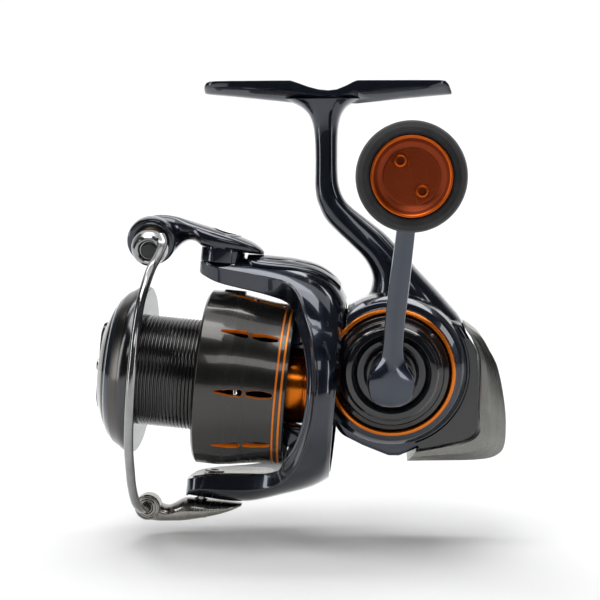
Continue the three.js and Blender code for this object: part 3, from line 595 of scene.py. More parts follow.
stem = loft("stem", [stem_ring(*r) for r in spline(STEM, 72)], NAVY, angle=50)
SLAB = [(37.2, -67.6), (41.6, -75), (42.0, -84), (42.0, -95.8), (40.0, -98.9), (33.4, -100.9), (25.6, -102.2), (20.2, -104.6), (17.2, -104.6), (10, -101.8), (3.6, -98.6), (0.2, -92), (-0.8, -84), (0.8, -74), (5.6, -66.5), (9.8, -62.4), (20, -60)]
slab = poly_prism("slab", fillet(SLAB, [2, 4, 3, 3, 2, 3, 3, 1.2, 1.2, 4, 6, 6, 6, 6, 6, 4, 4], 5, True), -10.4, 11, NAVY)
bevel(slab, 1.3, 3)
bake_mods(slab)
boss = lathe("boss", fillet([(0, -16.9), (17.5, -16.9), (17.75, -16.55), (19.2, -15.9), (20.6, -13.6), (21.2, -10.2), (21.2, 9), (20.2, 11.8), (17.5, 13.6), (0, 13.6)], [0, 0.15, 0.3, 1.0, 1.2, 1.0, 2, 2, 2, 0], 4), NAVY, GEAR, "y", 160)
nose = lathe("nose", [(0, 44), (7.8, 44), (8.1, 44.3), (8.1, 51.6), (10.6, 51.6), (10.6, 60), (0, 60)], NAVY, SHAFT, "x", 96)
boolean(body, [stem, slab, boss, nose], "UNION")
front = lathe("c1", [(8.25, 30), (33, 30), (33, 57.2), (23.7, 57.2), (23.3, 56.8), (23.3, 53.3), (22.8, 52.6), (10.5, 52.6), (10.5, 51.7), (8.25, 51.7)], NAVY, SHAFT, "x", 96)
cav = lathe("c2", [(0, -30), (15.2, -30), (15.2, 9.4), (0, 9.4)], BLACK_S, GEAR, "y", 72)
cav2 = poly_prism("c3", [(66, -10.9), (84, -10.9), (88.3, -9.1), (91, -7.2), (91, 6.2), (66, 6.2)], -8.9, 4.6, BLACK_S, SHAFT)
bore = lathe("c4", [(0, 43), (7.4, 43), (7.4, 58), (5.4, 58), (5.4, 62), (0, 62)], BLACK_S, SHAFT, "x", 48)
fbore = lathe("c5", [(0, 8), (4.4, 8), (4.4, 10), (6.3, 10), (6.3, 20), (0, 20)], BLACK_S, GEAR, "y", 48)
seat = lathe("c6", [(16.25, -30), (17.55, -30), (17.55, -16.0), (16.25, -16.0)], NAVY, GEAR, "y", 160)
boolean(body, [front, cav, cav2, bore, fbore, seat])
body.name = "body_frame_shell"
piece(body, "frame", "navy_paint", "body_frame")

# ------------------------------------------------------------------ side plate, ring, caps
side = lathe("side_cover", fillet([(4.5, -14.2), (4.5, -21.4), (4.9, -21.9), (6.6, -21.9), (7.1, -21.3), (7.5, -20.5), (9.3, -20.5), (9.9, -20.9), (10.1, -21.6), (10.9, -21.8), (12.3, -21.6), (12.7, -21.1), (13.0, -20.6), (14.0, -20.3), (14.4, -19.5), (15.5, -18.9), (16.05, -18.2), (16.15, -16.9), (14.9, -16.9), (14.9, -11.6), (13.2, -11.6), (13.2, -16.6), (7.6, -16.6), (7.6, -11.6), (7.4, -11.6), (7.4, -14.2)],
    [0, 0.2, 0.15, 0.25, 0.2, 0.3, 0.35, 0.2, 0.25, 0.3, 0.3, 0.2, 0.2, 0.25, 0.3, 0.35, 0.3] + [0.05] * 9, 4), BLACK, GEAR, "y", 192)
piece(side, "frame", "black_gloss", "side_plate")
ringo = lathe("orange_trim_ring", fillet([(16.35, -16.3), (16.35, -18.5), (16.6, -18.75), (17.25, -18.55), (17.5, -18.2), (17.5, -16.3)], [0, 0.1, 0.12, 0.12, 0.1, 0], 3), ORANGE_G, GEAR, "y", 192)
piece(ringo, "frame", "orange_anodised", "side_plate_ring")
capo = lathe("far_side_cap", fillet([(0, 13.0), (5.9, 13.0), (5.9, 13.9), (8.4, 13.9), (8.4, 15.0), (7.6, 15.8), (6.9, 15.9), (6.5, 15.5), (5.9, 15.5), (5.3, 16.3), (0, 16.6)], [0, 0, 0.1, 0.15, 0.4, 0.3, 0.2, 0.15, 0.15, 0.5, 0], 4), BLACK, GEAR, "y", 128)
slotc = boxm("c7", GX - 4.2, GX + 4.2, 15.7, 17.5, GZ - 0.7, GZ + 0.7, BLACK)
boolean(capo, [slotc])
bevel(capo, 0.12, 2)
piece(capo, "frame", "black_gloss", "opposite_side_cap")

# ------------------------------------------------------------------ tail guard and inset panel
TIN = [(24.9, -102.95), (29.5, -102.1), (33.5, -101.2), (37.6, -100.3), (40.4, -99.1), (41.9, -97.4), (42.35, -95.5), (42.4, -91), (42.4, -86), (42.35, -81), (42.1, -76.3), (41.0, -73.0), (39.9, -71.0), (38.7, -69.3)]
TOUT = [(22.4, -106.15), (28.5, -106.0), (35.0, -105.85), (41.0, -105.6), (45.8, -104.9), (48.6, -103.2), (49.55, -100.9), (49.82, -97.5), (49.74, -93.0), (48.97, -86.8), (47.3, -79.3), (45.0, -74.6), (42.6, -70.8), (38.3, -67.6)]
rows = spline([[*a, *b] for a, b in zip(TIN, TOUT)], 90)
YW = 11.4
rings = []
for i, (xi, zi, xo, zo) in enumerate(rows):
    t = i / 89
    w = YW * (1 - 0.10 * max(0, (t - 0.75) / 0.25) ** 1.5)
    ch = 0.52 - 0.20 * min(1, max(0, (t - 0.35) / 0.2))  # where the outer chamfer starts, wider up the back
    prof = [(0.0, w - 0.25), (0.06, w), (ch, w - 0.15), (ch + 0.05, w - 0.35), (0.93, w * 0.80), (1.0, w * 0.765), (1.0, w * 0.72), (1.0, 0.0)]
    pr = prof + [(d, -y) for d, y in reversed(prof[:-1])]
    rings.append([(xi + (xo - xi) * d, y, zi + (zo - zi) * d) for d, y in pr])
tail = loft("tail_guard", rings, SILVER, angle=24)
piece(tail, "frame", "silver_metal", "rear_cover")
arc = [(GX + 21.55 * math.cos(math.radians(a)), GZ + 21.55 * math.sin(math.radians(a))) for a in np.linspace(-72, 24, 40)]
panel = poly_prism("tail_inset_panel", arc + [(39.6, -71.4), (40.7, -73.2), (41.6, -76.4), (41.9, -81), (41.9, -95.3), (41.5, -97.0), (40.1, -98.7), (37.4, -99.9), (33.2, -100.8), (29.3, -101.7), (26.0, -102.3)], -11.35, -10.7, BLACK)
bevel(panel, 0.18, 3)
piece(panel, "frame", "black_gloss", "rear_inset_panel")

# ------------------------------------------------------------------ handle
ARM = [[17.9, -34.2, -86.9, 1.2, 0.9], [17.9, -34.2, -86.6, 2.6, 1.9], [17.9, -34.25, -85.6, 4.5, 2.9], [17.9, -34.4, -83.8, 5.7, 3.55], [17.9, -34.6, -81.5, 6.15, 3.85], [17.9, -34.7, -79.6, 6.0, 3.9], [17.93, -34.9, -77.8, 5.2, 3.75], [17.97, -35.2, -76.2, 4.1, 3.45],
    [18.05, -35.6, -74.6, 3.3, 3.1], [18.15, -36.0, -72.8, 2.85, 2.85], [18.35, -36.6, -70, 2.62, 2.7], [18.75, -38, -64, 2.6, 2.6], [19.6, -40.6, -56, 2.62, 2.4], [20.7, -43.6, -46, 2.5, 2.3], [21.8, -46.2, -36, 2.4, 2.2], [22.2, -47.4, -31, 2.7, 2.2], [22.4, -47.9, -28.4, 3.2, 2.2], [22.4, -47.9, -25.8, 3.0, 2.1], [22.4, -47.9, -24.4, 1.9, 1.6]]


def arm_ring(x, y, z, w, t, n=48):
    # raised, softly creased face: two planes that meet on a centre line, on both sides
    out = []
    for i in range(n):
        q = 2 * math.pi * i / n
        a, b = math.cos(q), math.sin(q)
        px = w * math.copysign(abs(a) ** (2 / 2.3), a)
        py = t * math.copysign(abs(b) ** (2 / 2.0), b)
        if b < 0:
            py = -t * (1 - 0.62 * abs(a) ** 1.15) * min(1.0, (1 - abs(a)) * 14) ** 0.5
        out.append((x + px, y + py, z))
    return out


arm = loft("crank_arm", [arm_ring(*r) for r in spline(ARM, 110)], NAVY_LIT, angle=28)
hub = lathe("hub", fillet([(0, -36.6), (5.2, -36.6), (6.1, -35.4), (6.1, -33.4), (5.3, -31.2), (4.7, -30.9), (0, -30.9)], [0, 1, 0.8, 0.8, 0.6, 0.2, 0], 5), NAVY_LIT, GEAR, "y", 96)
boolean(arm, [hub], "UNION", 40)
bore2 = lathe("c8", [(0, -53), (1.9, -53), (1.9, -44), (0, -44)], NAVY_LIT, KNOB, "y", 40)
boolean(arm, [bore2], "DIFFERENCE", 40)
piece(arm, "handle", "navy_paint", "handle_arm")
nut = lathe("axle_collar", fillet([(3.5, -22.3), (5.0, -22.3), (5.9, -23.2), (5.9, -26.2), (5.6, -26.5), (5.6, -27.0), (5.9, -27.3), (5.9, -29.3), (4.4, -30.6), (0, -30.6), (0, -20.6), (1.3, -20.6), (1.3, -22.3)], [0.1, 0.3, 0.4, 0.1, 0.1, 0.1, 0.1, 0.4, 0.3, 0, 0, 0, 0], 4), BLACK, GEAR, "y", 128)
piece(nut, "handle", "black_gloss", "handle_axle_nut")

grip = lathe("foam_grip", fillet([(4.3, -52.2), (6.2, -51.7), (9.4, -52.7), (11.9, -55.4), (13.2, -59.2), (13.4, -62.2), (12.9, -64.6), (11.7, -66.3), (10.45, -67.0), (10.0, -66.7), (10.0, -64.0), (6.9, -62.9), (4.3, -62.9)], [0.3, 0.8, 3, 4, 5, 3, 2.5, 1.6, 0.35, 0.3, 0.2, 0, 0], 8), FOAM, KNOB, "y", 192, angle=60)
piece(grip, "knob", "foam", "knob_grip")
cap = lathe("knob_end_cap", fillet([(0, -65.35), (6.6, -65.35), (6.95, -65.2), (7.15, -65.35), (8.2, -66.0), (9.0, -67.0), (9.35, -67.25), (9.7, -67.15), (9.7, -64.3), (7.6, -64.0), (6.4, -63.2), (4.1, -63.2), (3.6, -64.7), (0, -64.7)], [0, 0.2, 0.15, 0.5, 1.2, 0.3, 0.15, 0.15, 0, 0, 0, 0, 0, 0], 6), ORANGE_K, KNOB, "y", 192)
for (hx, hz) in ((-2.7, 3.7), (2.5, -3.5)):
    rim = lathe("rim", fillet([(0, -65.0), (1.7, -65.0), (1.65, -65.6), (1.45, -66.0), (1.1, -66.1), (0, -66.1)], [0, 0, 0.1, 0.15, 0.15, 0], 4), ORANGE_K, Matrix.Translation((KX + hx, 0, KZ + hz)), "y", 48)
    boolean(cap, [rim], "UNION")
    hole = lathe("c9", [(0, -70), (0.95, -70), (0.95, -65.0), (0, -65.0)], ORANGE_K, Matrix.Translation((KX + hx, 0, KZ + hz)), "y", 48)
    boolean(cap, [hole])
cap.data.materials.append(ORANGE_CAP_SHADE)
# painted shade: the recessed floor and slope inside the rim, and the insides of the two pin holes, take the darker
# orange
for p in cap.data.polygons:
    c_ = p.center / MM
    rr = math.hypot(c_.x - KX, c_.z - KZ)
    near = min(math.hypot(c_.x - KX - hx, c_.z - KZ - hz) for hx, hz in ((-2.7, 3.7), (2.5, -3.5)))
    if near > 1.72 and rr < 8.9 and c_.y < -65.0:
        p.material_index = 1
    if near < 0.97:
        p.material_index = 1
piece(cap, "knob", "orange_anodised", "knob_cap")

# ------------------------------------------------------------------ rotor: bowl and two arms as one shell
EDGE = smooth_table([(0, 13.7), (2.8, 13.85), (5.6, 14.3), (8.2, 15.3), (10.2, 17.0), (11.6, 19.4), (12.4, 22.0), (13.6, 26), (15.2, 30), (17.4, 34.5), (20.6, 38.6), (25.5, 41.7), (31, 43.6), (38, 45.3), (46, 46.8), (56, 48.5), (67, 49.8), (78, 50.7), (90, 51.0)], 400)
EDGE_B = smooth_table([(0, 15.5), (2.8, 15.6), (5.8, 16.0), (8.8, 17.0), (11, 18.8), (12.5, 21.4), (13.6, 24.6), (14.8, 28), (16.6, 32), (19.0, 35.6), (22.6, 39.4), (27, 42.2), (32, 44.0), (39, 45.6), (47, 47.0), (57, 48.6), (67, 49.8), (78, 50.7), (90, 51.0)], 400)
RTOP = smooth_table([(13.0, 34.6), (20, 34.9), (26, 35.1), (31, 35.4), (37, 35.5), (42, 35.3), (47.8, 34.2), (52.2, 31.9), (55.2, 28.9), (56.5, 26.6)])
RBOT = smooth_table([(14.5, 34.7), (17, 35.1), (22, 35.3), (28, 35.5), (34, 34.9), (39, 33.4), (43, 31.9), (47.8, 30.1), (51.7, 28.4), (54.5, 26.7), (56.5, 25.2)])
RBOWL = smooth_table([(13, 28.3), (38, 28.28), (44, 28.3), (49, 28.24), (52.5, 27.78), (55, 26.8), (56.5, 25.2)])
ITOP = smooth_table([(13.0, 30.0), (15.6, 29.3), (19.8, 28.1), (25.7, 27.4), (31, 27.0), (36.7, 26.5), (42, 26.1), (50, 25.75)])
IBOT = smooth_table([(14.5, 30.6), (17, 29.6), (22, 28.4), (28, 27.6), (34, 27.0), (39, 26.5), (43, 26.1), (50, 25.75)])
WID = smooth_table([(13, 17.5), (20, 18.5), (26, 20), (31, 22), (37, 27), (42, 34), (47.8, 42), (52, 46), (56.5, 48)])


def rotor_mesh():
    # columns by angle away from the top (0) or bottom arm; denser where the arm's side runs
    q = np.concatenate([np.linspace(0, 10, 11)[:-1], np.linspace(10, 26, 36)[:-1], np.linspace(26, 90, 26)])
    cols = []
    for a in q:
        cols.append(("t", a))
    for a in q[::-1][1:]:
        cols.append(("b", a))
    half = cols  # from top to bottom on the near side
    allc = [(k, a, -1) for k, a in half] + [(k, a, 1) for k, a in half[::-1][1:-1]]
    NR = 26
    tt = (np.linspace(0, 1, NR)) ** 1.15
    verts, faces = [], []
    nper = 0
    for kind, a, side in allc:
        edge = interp(a, EDGE if kind == "t" else EDGE_B)
        RT, IT = (RTOP, ITOP) if kind == "t" else (RBOT, IBOT)
        sg = 1 if kind == "t" else -1
        d = math.radians(a)

        def r_out(q):
            w = interp(q, WID)
            g = max(0.0, 1 - (a / w) ** 2) ** 1.05 if a < w else 0.0
            return interp(q, RBOWL) + (interp(q, RT) - interp(q, RBOWL)) * g

        def r_in(q):
            base = 25.75 + max(0.0, q - 50) * 0.03
            share = 1 if a < 20 else max(0.0, (30 - a) / 10)
            return min(base + (interp(min(q, 50), IT) - 25.75) * share, r_out(q) - 1.5)

        u = min(1.0, max(0.0, (a - 20) / 22))
        c = 2.3 * u * u * (3 - 2 * u)
        ro = r_out(edge + 0.9)
        loop = []
        for t in tt[::-1]:
            q = edge + 0.95 + (55.55 - edge) * t
            loop.append((q, r_out(q)))
        loop += [(edge + 0.80, ro + 0.03), (edge + 0.70, ro + 0.20), (edge + 0.62, ro + 0.27), (edge + 0.20, ro + 0.27), (edge + 0.08, ro + 0.20), (edge, ro + 0.02)]
        ri = r_in(edge)
        loop += [(edge - 0.04 - 0.04 * c, ro - 0.35), (edge - c * 0.55, ri + (ro - ri) * 0.42), (edge - c * 0.94 - 0.03, ri + 0.38), (edge - c, ri + 0.12), (edge - c + 0.2, ri)]
        for t in tt[1:]:
            q = edge - c + 0.2 + (56.3 - edge + c) * t
            loop.append((q, r_in(max(q, edge))))
        nper = len(loop)
        for s, r in loop:
            y = side * r * math.sin(d)
            v = sg * r * math.cos(d)
            verts.append((s, y, v))
    n = len(allc)
    for j in range(n):
        k = (j + 1) % n
        for i in range(nper):
            i2 = (i + 1) % nper
            faces.append((j * nper + i, j * nper + i2, k * nper + i2, k * nper + i))
    return make("rotor_shell", verts, faces, NAVY, SHAFT, None, 38)


rotor = rotor_mesh()
web = lathe("web", fillet([(26.2, 50.3), (26.2, 52.3), (25.3, 52.2), (17.5, 51.2), (8.6, 51.0), (8.6, 40.4), (4.5, 40.4), (4.5, 36.4), (8.2, 36.4), (8.2, 29.8), (9.8, 29.8), (9.8, 49.4), (14, 49.5), (14.2, 48.9), (16.4, 48.9), (16.6, 49.6), (21, 49.8), (24.8, 50.0)], [0, 0, 0, 0.5, 0.5, 0, 0, 0, 0.2, 0.2, 0.3, 0.5, 0.1, 0.2, 0.2, 0.1, 0.5, 0.2], 3), NAVY, SHAFT, "x", 128)
ribs = [poly_prism("rib%d" % k, fillet([(41.5, a * 11.1), (41.5, b * 0.92), (44.0, b), (50.6, b), (50.6, a * 11.1)] if b > 0 else [(50.6, a * 11.1), (50.6, b), (44.0, b), (41.5, b * 0.92), (41.5, a * 11.1)], [0.5, 1.2, 1.6, 0, 0] if b > 0 else [0, 0, 1.6, 1.2, 0.5], 4, True), -6, 6, NAVY, SHAFT) for k, (a, b) in enumerate(((1, 20.4), (-1, -17.2)))]
for rb in ribs:
    bevel(rb, 0.7, 3)
    bake_mods(rb)
boolean(rotor, [web] + ribs, "UNION", 38)
rc1 = lathe("r1", [(0, 32.95), (6.7, 32.95), (6.7, 50), (0, 50)], NAVY, SHAFT @ Matrix.Translation((20, 0, 0)), "z", 64)
rc2 = boxm("r2", 8, 20, -12, 12, 32.95, 42, NAVY, SHAFT)
rc3 = boxm("r3", 22.5, 46, -3.4, 3.4, 20, 32.0, BLACK_S, SHAFT)
rc4 = boxm("r4", 19.5, 39, -3.4, 3.4, -33.0, -20, BLACK_S, SHAFT)
rc5 = lathe("r5", [(0, 26), (1.7, 26), (1.7, 36), (0, 36)], NAVY, SHAFT @ Matrix.Translation((20, 0, 0)), "z", 32)
rc6 = lathe("r6", [(0, -38), (1.7, -38), (1.7, -26), (0, -26)], NAVY, SHAFT @ Matrix.Translation((20, 0, 0)), "z", 32)
boolean(rotor, [rc1, rc2, rc3, rc4, rc5, rc6], "DIFFERENCE", 38)
piece(rotor, "rotor", "navy_paint", "rotor")


def on_arm(s, y, table, lift):
    """v of the arm's outer surface at s, y, raised by lift."""
    r = interp(s, table)
    a = math.degrees(math.asin(min(0.9, abs(y) / r)))
    w = interp(s, WID)
    g = max(0.0, 1 - (a / w) ** 2) ** 1.05
    rb = interp(s, RBOWL)
    R = rb + (r - rb) * g + lift
    return R * math.cos(math.asin(min(0.95, abs(y) / R)))


def arm_skin(name, table, rows, sign, mats, thick=0.8, lift=0.12, across=45):
    """Cover that follows the arm's outer surface: rows of [s, half width]."""
    R = spline(rows, 70)
    rings = []
    for s, w in R:
        top, bot = [], []
        for k in range(across):
            u = -1 + 2 * k / (across - 1)
            y = w * u
            e = 1 - max(0, (abs(u) - 0.88) / 0.12) ** 2 * 0.75
            f = min(1, max(0, (s - 29.5) / 2.5)) * min(1, max(0, (53.5 - s) / 2.5))
            e -= f * 0.55 * math.exp(-(((abs(u) - 0.52 + 0.004 * (s - 40)) / 0.055) ** 2))
            v = on_arm(s, y, table, lift)
            top.append((s, y, sign * (v + thick * e)))
            bot.append((s, y, sign * v))
        rings.append(top + bot[::-1])
    return loft(name, rings, mats, SHAFT, angle=40)


cov = arm_skin("upper_arm_cover_shell", RTOP, [[27.3, 3.2], [27.9, 4.9], [30, 6.2], [35, 7.2], [41, 7.9], [47, 8.2], [51.5, 7.8], [54.6, 6.6]], 1, NAVY, 0.8, 0.1)
piece(cov, "rotor", "navy_paint", "upper_arm_cover")

rings = []
for q, w in spline([[17.2, 2.6], [17.6, 3.9], [18.8, 4.8], [22, 5.4], [28, 5.5], [34, 5.3], [38.2, 4.9], [39.6, 4.0], [40.2, 2.6]], 60):
    rr = interp(q, IBOT)
    top, low = [], []
    for k in range(25):
        u = -1 + 2 * k / 24
        y = w * u
        v0 = -math.sqrt(rr * rr - y * y)
        top.append((q, y, v0 + 0.55 * (1 - max(0, (abs(u) - 0.85) / 0.15) ** 2)))
        low.append((q, y, v0 - 0.35))
    rings.append(top + low[::-1])
plate_ = loft("lower_inner_plate", rings, SILVER_W, SHAFT, 40)
sb = loft("sb", [[(23.2 + 3.0 * k * math.cos(2 * math.pi * i / 48), -0.4 + 2.1 * k * math.sin(2 * math.pi * i / 48), v) for i in range(48)] for v, k in ((-28.6, 1.0), (-27.25, 1.0), (-27.0, 0.9))], SILVER_W, SHAFT, 30)
boolean(plate_, [sb], "UNION", 35)
sh = lathe("sh", fillet([(0, -28.2), (1.25, -28.2), (1.25, -26), (0, -26)], 0, 2), SILVER_W, SHAFT @ Matrix.Translation((23.2, -0.4, 0)), "z", 40)
boolean(plate_, [sh], "DIFFERENCE", 35)
st = lathe("ss", fillet([(0, -28.3), (1.15, -28.3), (1.15, -27.5), (0.85, -27.2), (0.5, -27.2), (0.4, -27.6), (0, -27.6)], [0, 0, 0.15, 0.15, 0.1, 0.1, 0], 3), SILVER_W, SHAFT @ Matrix.Translation((23.2, -0.4, 0)), "z", 40)
boolean(plate_, [st], "UNION", 35)
piece(plate_, "rotor", "silver_metal", "lower_arm_inner_cover")

# ------------------------------------------------------------------ bail lever (upper)
LEV = [[-6.75, 1.2, 35.6, 38.6, 4.0], [-6.3, 2.4, 33.2, 40.6, 4.0], [-5.2, 3.1, 31.6, 42.2, 4.0], [-3.2, 3.4, 30.4, 43.7, 4.0], [-0.9, 3.5, 30.0, 44.5, 4.0], [1.4, 3.6, 30.5, 44.8, 4.0], [3.6, 3.7, 32.2, 44.8, 3.9], [5.8, 4.0, 34.9, 44.6, 3.6], [7.6, 4.3, 36.9, 44.3, 3.0],
    [9.9, 4.8, 38.2, 43.9, 2.0], [12.2, 5.3, 38.1, 43.5, 1.0], [14.2, 5.7, 36.9, 43.1, 0.4], [17, 6.1, 36.4, 42.6, 0], [21.4, 6.3, 36.35, 41.7, 0], [25, 6.0, 36.35, 40.8, 0], [28.4, 4.9, 36.35, 39.6, 0], [30.6, 3.3, 36.35, 38.3, 0], [31.7, 1.4, 36.4, 37.3, 0]]


def lev_ring(s, w, lo, hi, dy, n=56):
    # rounded under side, crowned top with a soft crease along the near shoulder
    c, h = (lo + hi) / 2, (hi - lo) / 2
    out = []
    for i in range(n):
        q = 2 * math.pi * i / n
        a, b = math.cos(q), math.sin(q)
        e = 2.1 if b > 0 else 3.2
        y = w * math.copysign(abs(a) ** (2 / e), a)
        v = c + h * math.copysign(abs(b) ** (2 / e), b)
        out.append((s, y + dy, v))
    return out


lev = loft("bail_lever", [lev_ring(*r) for r in spline(LEV, 110)], NAVY, SHAFT, 50)
bosl = lathe("lb", fillet([(0, 33.04), (6.1, 33.04), (6.35, 33.35), (6.3, 36.6), (6.0, 39.6), (4.6, 41.2), (0, 41.4)], [0, 0.2, 0.2, 2.0, 2.0, 1.0, 0], 4), NAVY, SHAFT @ Matrix.Translation((20, 0, 0)), "z", 96)
disc = lathe("ld", fillet([(0, -0.55), (6.3, -0.55), (6.85, -0.2), (7.0, 0.4), (7.0, 2.6), (5.6, 4.6), (0, 5.2)], [0, 0.2, 0.3, 0.3, 1.5, 1.5, 0], 4), NAVY, ROLL, "y", 96)
boolean(lev, [bosl, disc], "UNION", 40)
l1 = lathe("l1", [(0, 30), (1.9, 30), (1.9, 38.9), (3.4, 38.9), (3.4, 46), (0, 46)], NAVY, SHAFT @ Matrix.Translation((20, 0, 0)), "z", 48)
l2 = lathe("l2", [(0, -8), (1.2, -8), (1.2, 4.2), (0, 4.2)], NAVY, ROLL, "y", 32)
l3 = lathe("l3", [(4.5, -3), (6.05, -3), (6.05, -0.15), (4.5, -0.15)], NAVY, ROLL, "y", 96)
boolean(lev, [l1, l2, l3], "DIFFERENCE", 40)
piece(lev, "bail", "navy_paint", "bail_arm")
sc = lathe("upper_pivot_screw_head", fillet([(0, 27.2), (1.3, 27.2), (1.3, 39.0), (3.0, 39.0), (3.1, 39.3), (3.1, 40.6), (2.7, 41.0), (0, 41.1)], [0, 0.1, 0, 0.1, 0.1, 0.2, 0.3, 0], 3), DCHROME, SHAFT @ Matrix.Translation((20, 0, 0)), "z", 48)
hx = poly_prism("h1", [(1.25 * math.cos(math.radians(60 * k)), 1.25 * math.sin(math.radians(60 * k))) for k in range(6)], 39.9, 43, BLACK_S, SHAFT @ Matrix.Translation((20, 0, 0)), "xy")
boolean(sc, [hx])
piece(sc, "bail", "steel", "bail_pivot_screw_upper")

# roller set
col = lathe("roller_collar_ring", fillet([(4.6, -1.55), (5.2, -1.6), (5.75, -1.2), (5.85, -0.25), (4.6, -0.25)], [0.1, 0.2, 0.2, 0.05, 0], 3), ORANGE_R, ROLL, "y", 96)
piece(col, "bail", "orange_anodised", "roller_collar")
rol = lathe("line_roller_wheel", fillet([(2.6, -1.7), (4.35, -1.7), (4.5, -2.0), (3.7, -2.9), (3.55, -3.5), (3.7, -4.2), (4.5, -5.1), (4.4, -5.4), (2.6, -5.4)], [0, 0.1, 0.1, 0.5, 0.5, 0.5, 0.1, 0.1, 0], 4), BRASS, ROLL, "y", 96)
piece(rol, "roller", "brass", "line_roller")
cup = lathe("bail_cup", fillet([(1.2, -5.8), (5.0, -5.8), (5.2, -6.3), (5.0, -7.6), (4.5, -9.2), (3.8, -10.05), (3.3, -10.15), (2.9, -9.9), (2.7, -9.2), (2.6, -8.9), (1.2, -8.9)], [0, 0.15, 0.4, 1.0, 1.0, 0.4, 0.2, 0.2, 0.1, 0, 0], 5), DCHROME, ROLL, "y", 128)
piece(cup, "bail", "chrome", "bail_end_cup")
rsc = lathe("roller_screw_head", fillet([(0, -9.5), (1.9, -9.6), (2.35, -9.4), (2.35, -9.1), (0.9, -9.1), (0.9, -1.3), (0, -1.3)], [0, 0.2, 0.1, 0, 0, 0, 0], 3), BLACK_S, ROLL, "y", 64)
piece(rsc, "bail", "steel", "roller_screw")

# wire
WIRE = [[2.6, -8.4, 39.0], [3.6, -9.9, 38.0], [4.2, -12.0, 36.6], [4.2, -14.6, 35.3], [4.0, -17.8, 33.6], [3.5, -22.6, 31.0], [3.1, -27.4, 26.7], [2.75, -31.2, 21.8], [2.85, -35.0, 14.2], [3.1, -36.9, 7.8], [3.2, -37.6, 1.0], [3.4, -37.2, -7.6], [3.6, -34.8, -16.6], [3.9, -31.6, -22.8], [4.1, -28.2, -27.7], [4.4, -21.6, -33.6], [4.9, -14.4, -37.2], [5.2, -9.0, -38.7], [5.4, -4.6, -38.9]]


def wire_r(t):
    return 1.25 + 0.25 * max(0, 1 - t / 0.3) + (0.30 * (1 - t / 0.08) ** 2 if t < 0.08 else 0) + (0.25 * ((t - 0.94) / 0.06) ** 2 if t > 0.94 else 0)


wire = sweep("bail_wire_tube", WIRE, wire_r, DCHROME, SHAFT, 220, 28, lambda t: 1.0 if t > 0.25 else 0.62 + 0.38 * (t / 0.25) ** 1.2)
piece(wire, "bail", "chrome", "bail_wire")

# lower lever
HOL = [[3.6, 1.4, -40.8, -39.0], [4.2, 2.6, -42.2, -37.9], [5.4, 3.1, -42.9, -37.1], [7.2, 3.3, -43.15, -37.3], [9.2, 3.5, -43.2, -38.5], [11, 3.8, -43.05, -38.7], [13, 4.4, -42.85, -37.6], [15.2, 5.0, -42.5, -36.3], [18, 5.6, -41.8, -35.95], [22, 5.8, -40.6, -35.95], [26, 5.2, -39.3, -35.95], [29.4, 3.9, -37.9, -35.95], [31.9, 1.6, -36.7, -36.0]]
hol = loft("lower_lever", [lev_ring(s, w, lo, hi, -2.0 * min(1, max(0, (13 - s) / 8))) for s, w, lo, hi in spline(HOL, 80)], SILVER_W, SHAFT, 50)
endb = lathe("eb", fillet([(0, -3.5), (0.8, -3.5), (1.15, -3.1), (1.5, -3.1), (1.8, -3.5), (2.3, -3.5), (2.6, -3.05), (2.9, -3.05), (3.3, -3.2), (3.7, -2.6), (3.7, 1.4), (0, 1.4)], [0, 0.15, 0.15, 0.1, 0.15, 0.15, 0.1, 0.1, 0.2, 0.4, 0.3, 0], 3), SILVER_W, SHAFT @ Matrix.Translation((5.4, -3.0, -38.9)), "y", 64)
boolean(hol, [endb], "UNION", 40)
h2 = lathe("h2", [(0, -50), (3.1, -50), (3.1, -39.9), (1.9, -39.9), (1.9, -30), (0, -30)], SILVER_D, SHAFT @ Matrix.Translation((20, 0, 0)), "z", 48)
boolean(hol, [h2], "DIFFERENCE", 40)
piece(hol, "bail", "gunmetal", "bail_holder")
sc2 = lathe("lower_pivot_screw_head", fillet([(0, -41.1), (2.4, -41.1), (2.8, -40.7), (2.8, -40.0), (1.3, -40.0), (1.3, -30.3), (0, -30.3)], [0, 0.3, 0.2, 0, 0, 0, 0], 3), DCHROME, SHAFT @ Matrix.Translation((20, 0, 0)), "z", 48)
piece(sc2, "bail", "steel", "bail_pivot_screw_lower")

# ------------------------------------------------------------------ spool
GROOVES, PITCH = 16, 1.03
prof, sm = [], []


def add(r, a, m=0):
    prof.append((r, a))
    sm.append(m)


# material indices: 0 gunmetal, 1 drum, 2 orange
for p in [(2.9, 6.6), (13.4, 6.6), (13.4, -1.8), (15.0, -1.8), (15.0, 0.5)]:
    add(*p, 0)
add(15.8, 0.55, 1)
for g in range(GROOVES):
    s0 = 0.75 + g * PITCH
    for f, d in ((0.0, 0.0), (0.10, 0.02), (0.26, 0.26), (0.5, 0.36), (0.74, 0.26), (0.90, 0.02)):
        add(15.85 - d, s0 + f * PITCH, 1)
add(15.85, 17.45, 1)
add(16.1, 17.6, 0)
for p in fillet([(16.1, 17.6), (24.1, 17.6), (24.95, 18.3), (24.9, 24), (24.5, 27.7), (23.75, 32), (23.15, 36.2), (22.9, 39.6)], [0, 0.25, 0.4, 12, 20, 20, 20, 0], 6)[1:]:
    add(*p, 0)
SK = smooth_table([(18.3, 24.95), (24, 24.9), (27.7, 24.5), (32, 23.75), (36.2, 23.15), (39.6, 22.9), (43, 22.7)])
for r, a, m in [(22.9, 39.75, 2), (22.72, 39.85, 2), (22.72, 40.15, 2), (22.88, 40.3, 0), (22.86, 41.3, 2), (22.68, 41.42, 2), (22.68, 41.75, 2), (22.82, 41.9, 0), (22.75, 42.7, 0), (22.55, 43.0, 0), (22.1, 43.0, 0), (22.1, 34, 0), (23.4, 26, 0), (23.7, 19.6, 0), (6.0, 19.6, 0), (6.0, 27.0, 0), (4.6, 27.0, 0), (4.6, 12.6, 0), (2.9, 12.6, 0)]:
    add(r, a, m)
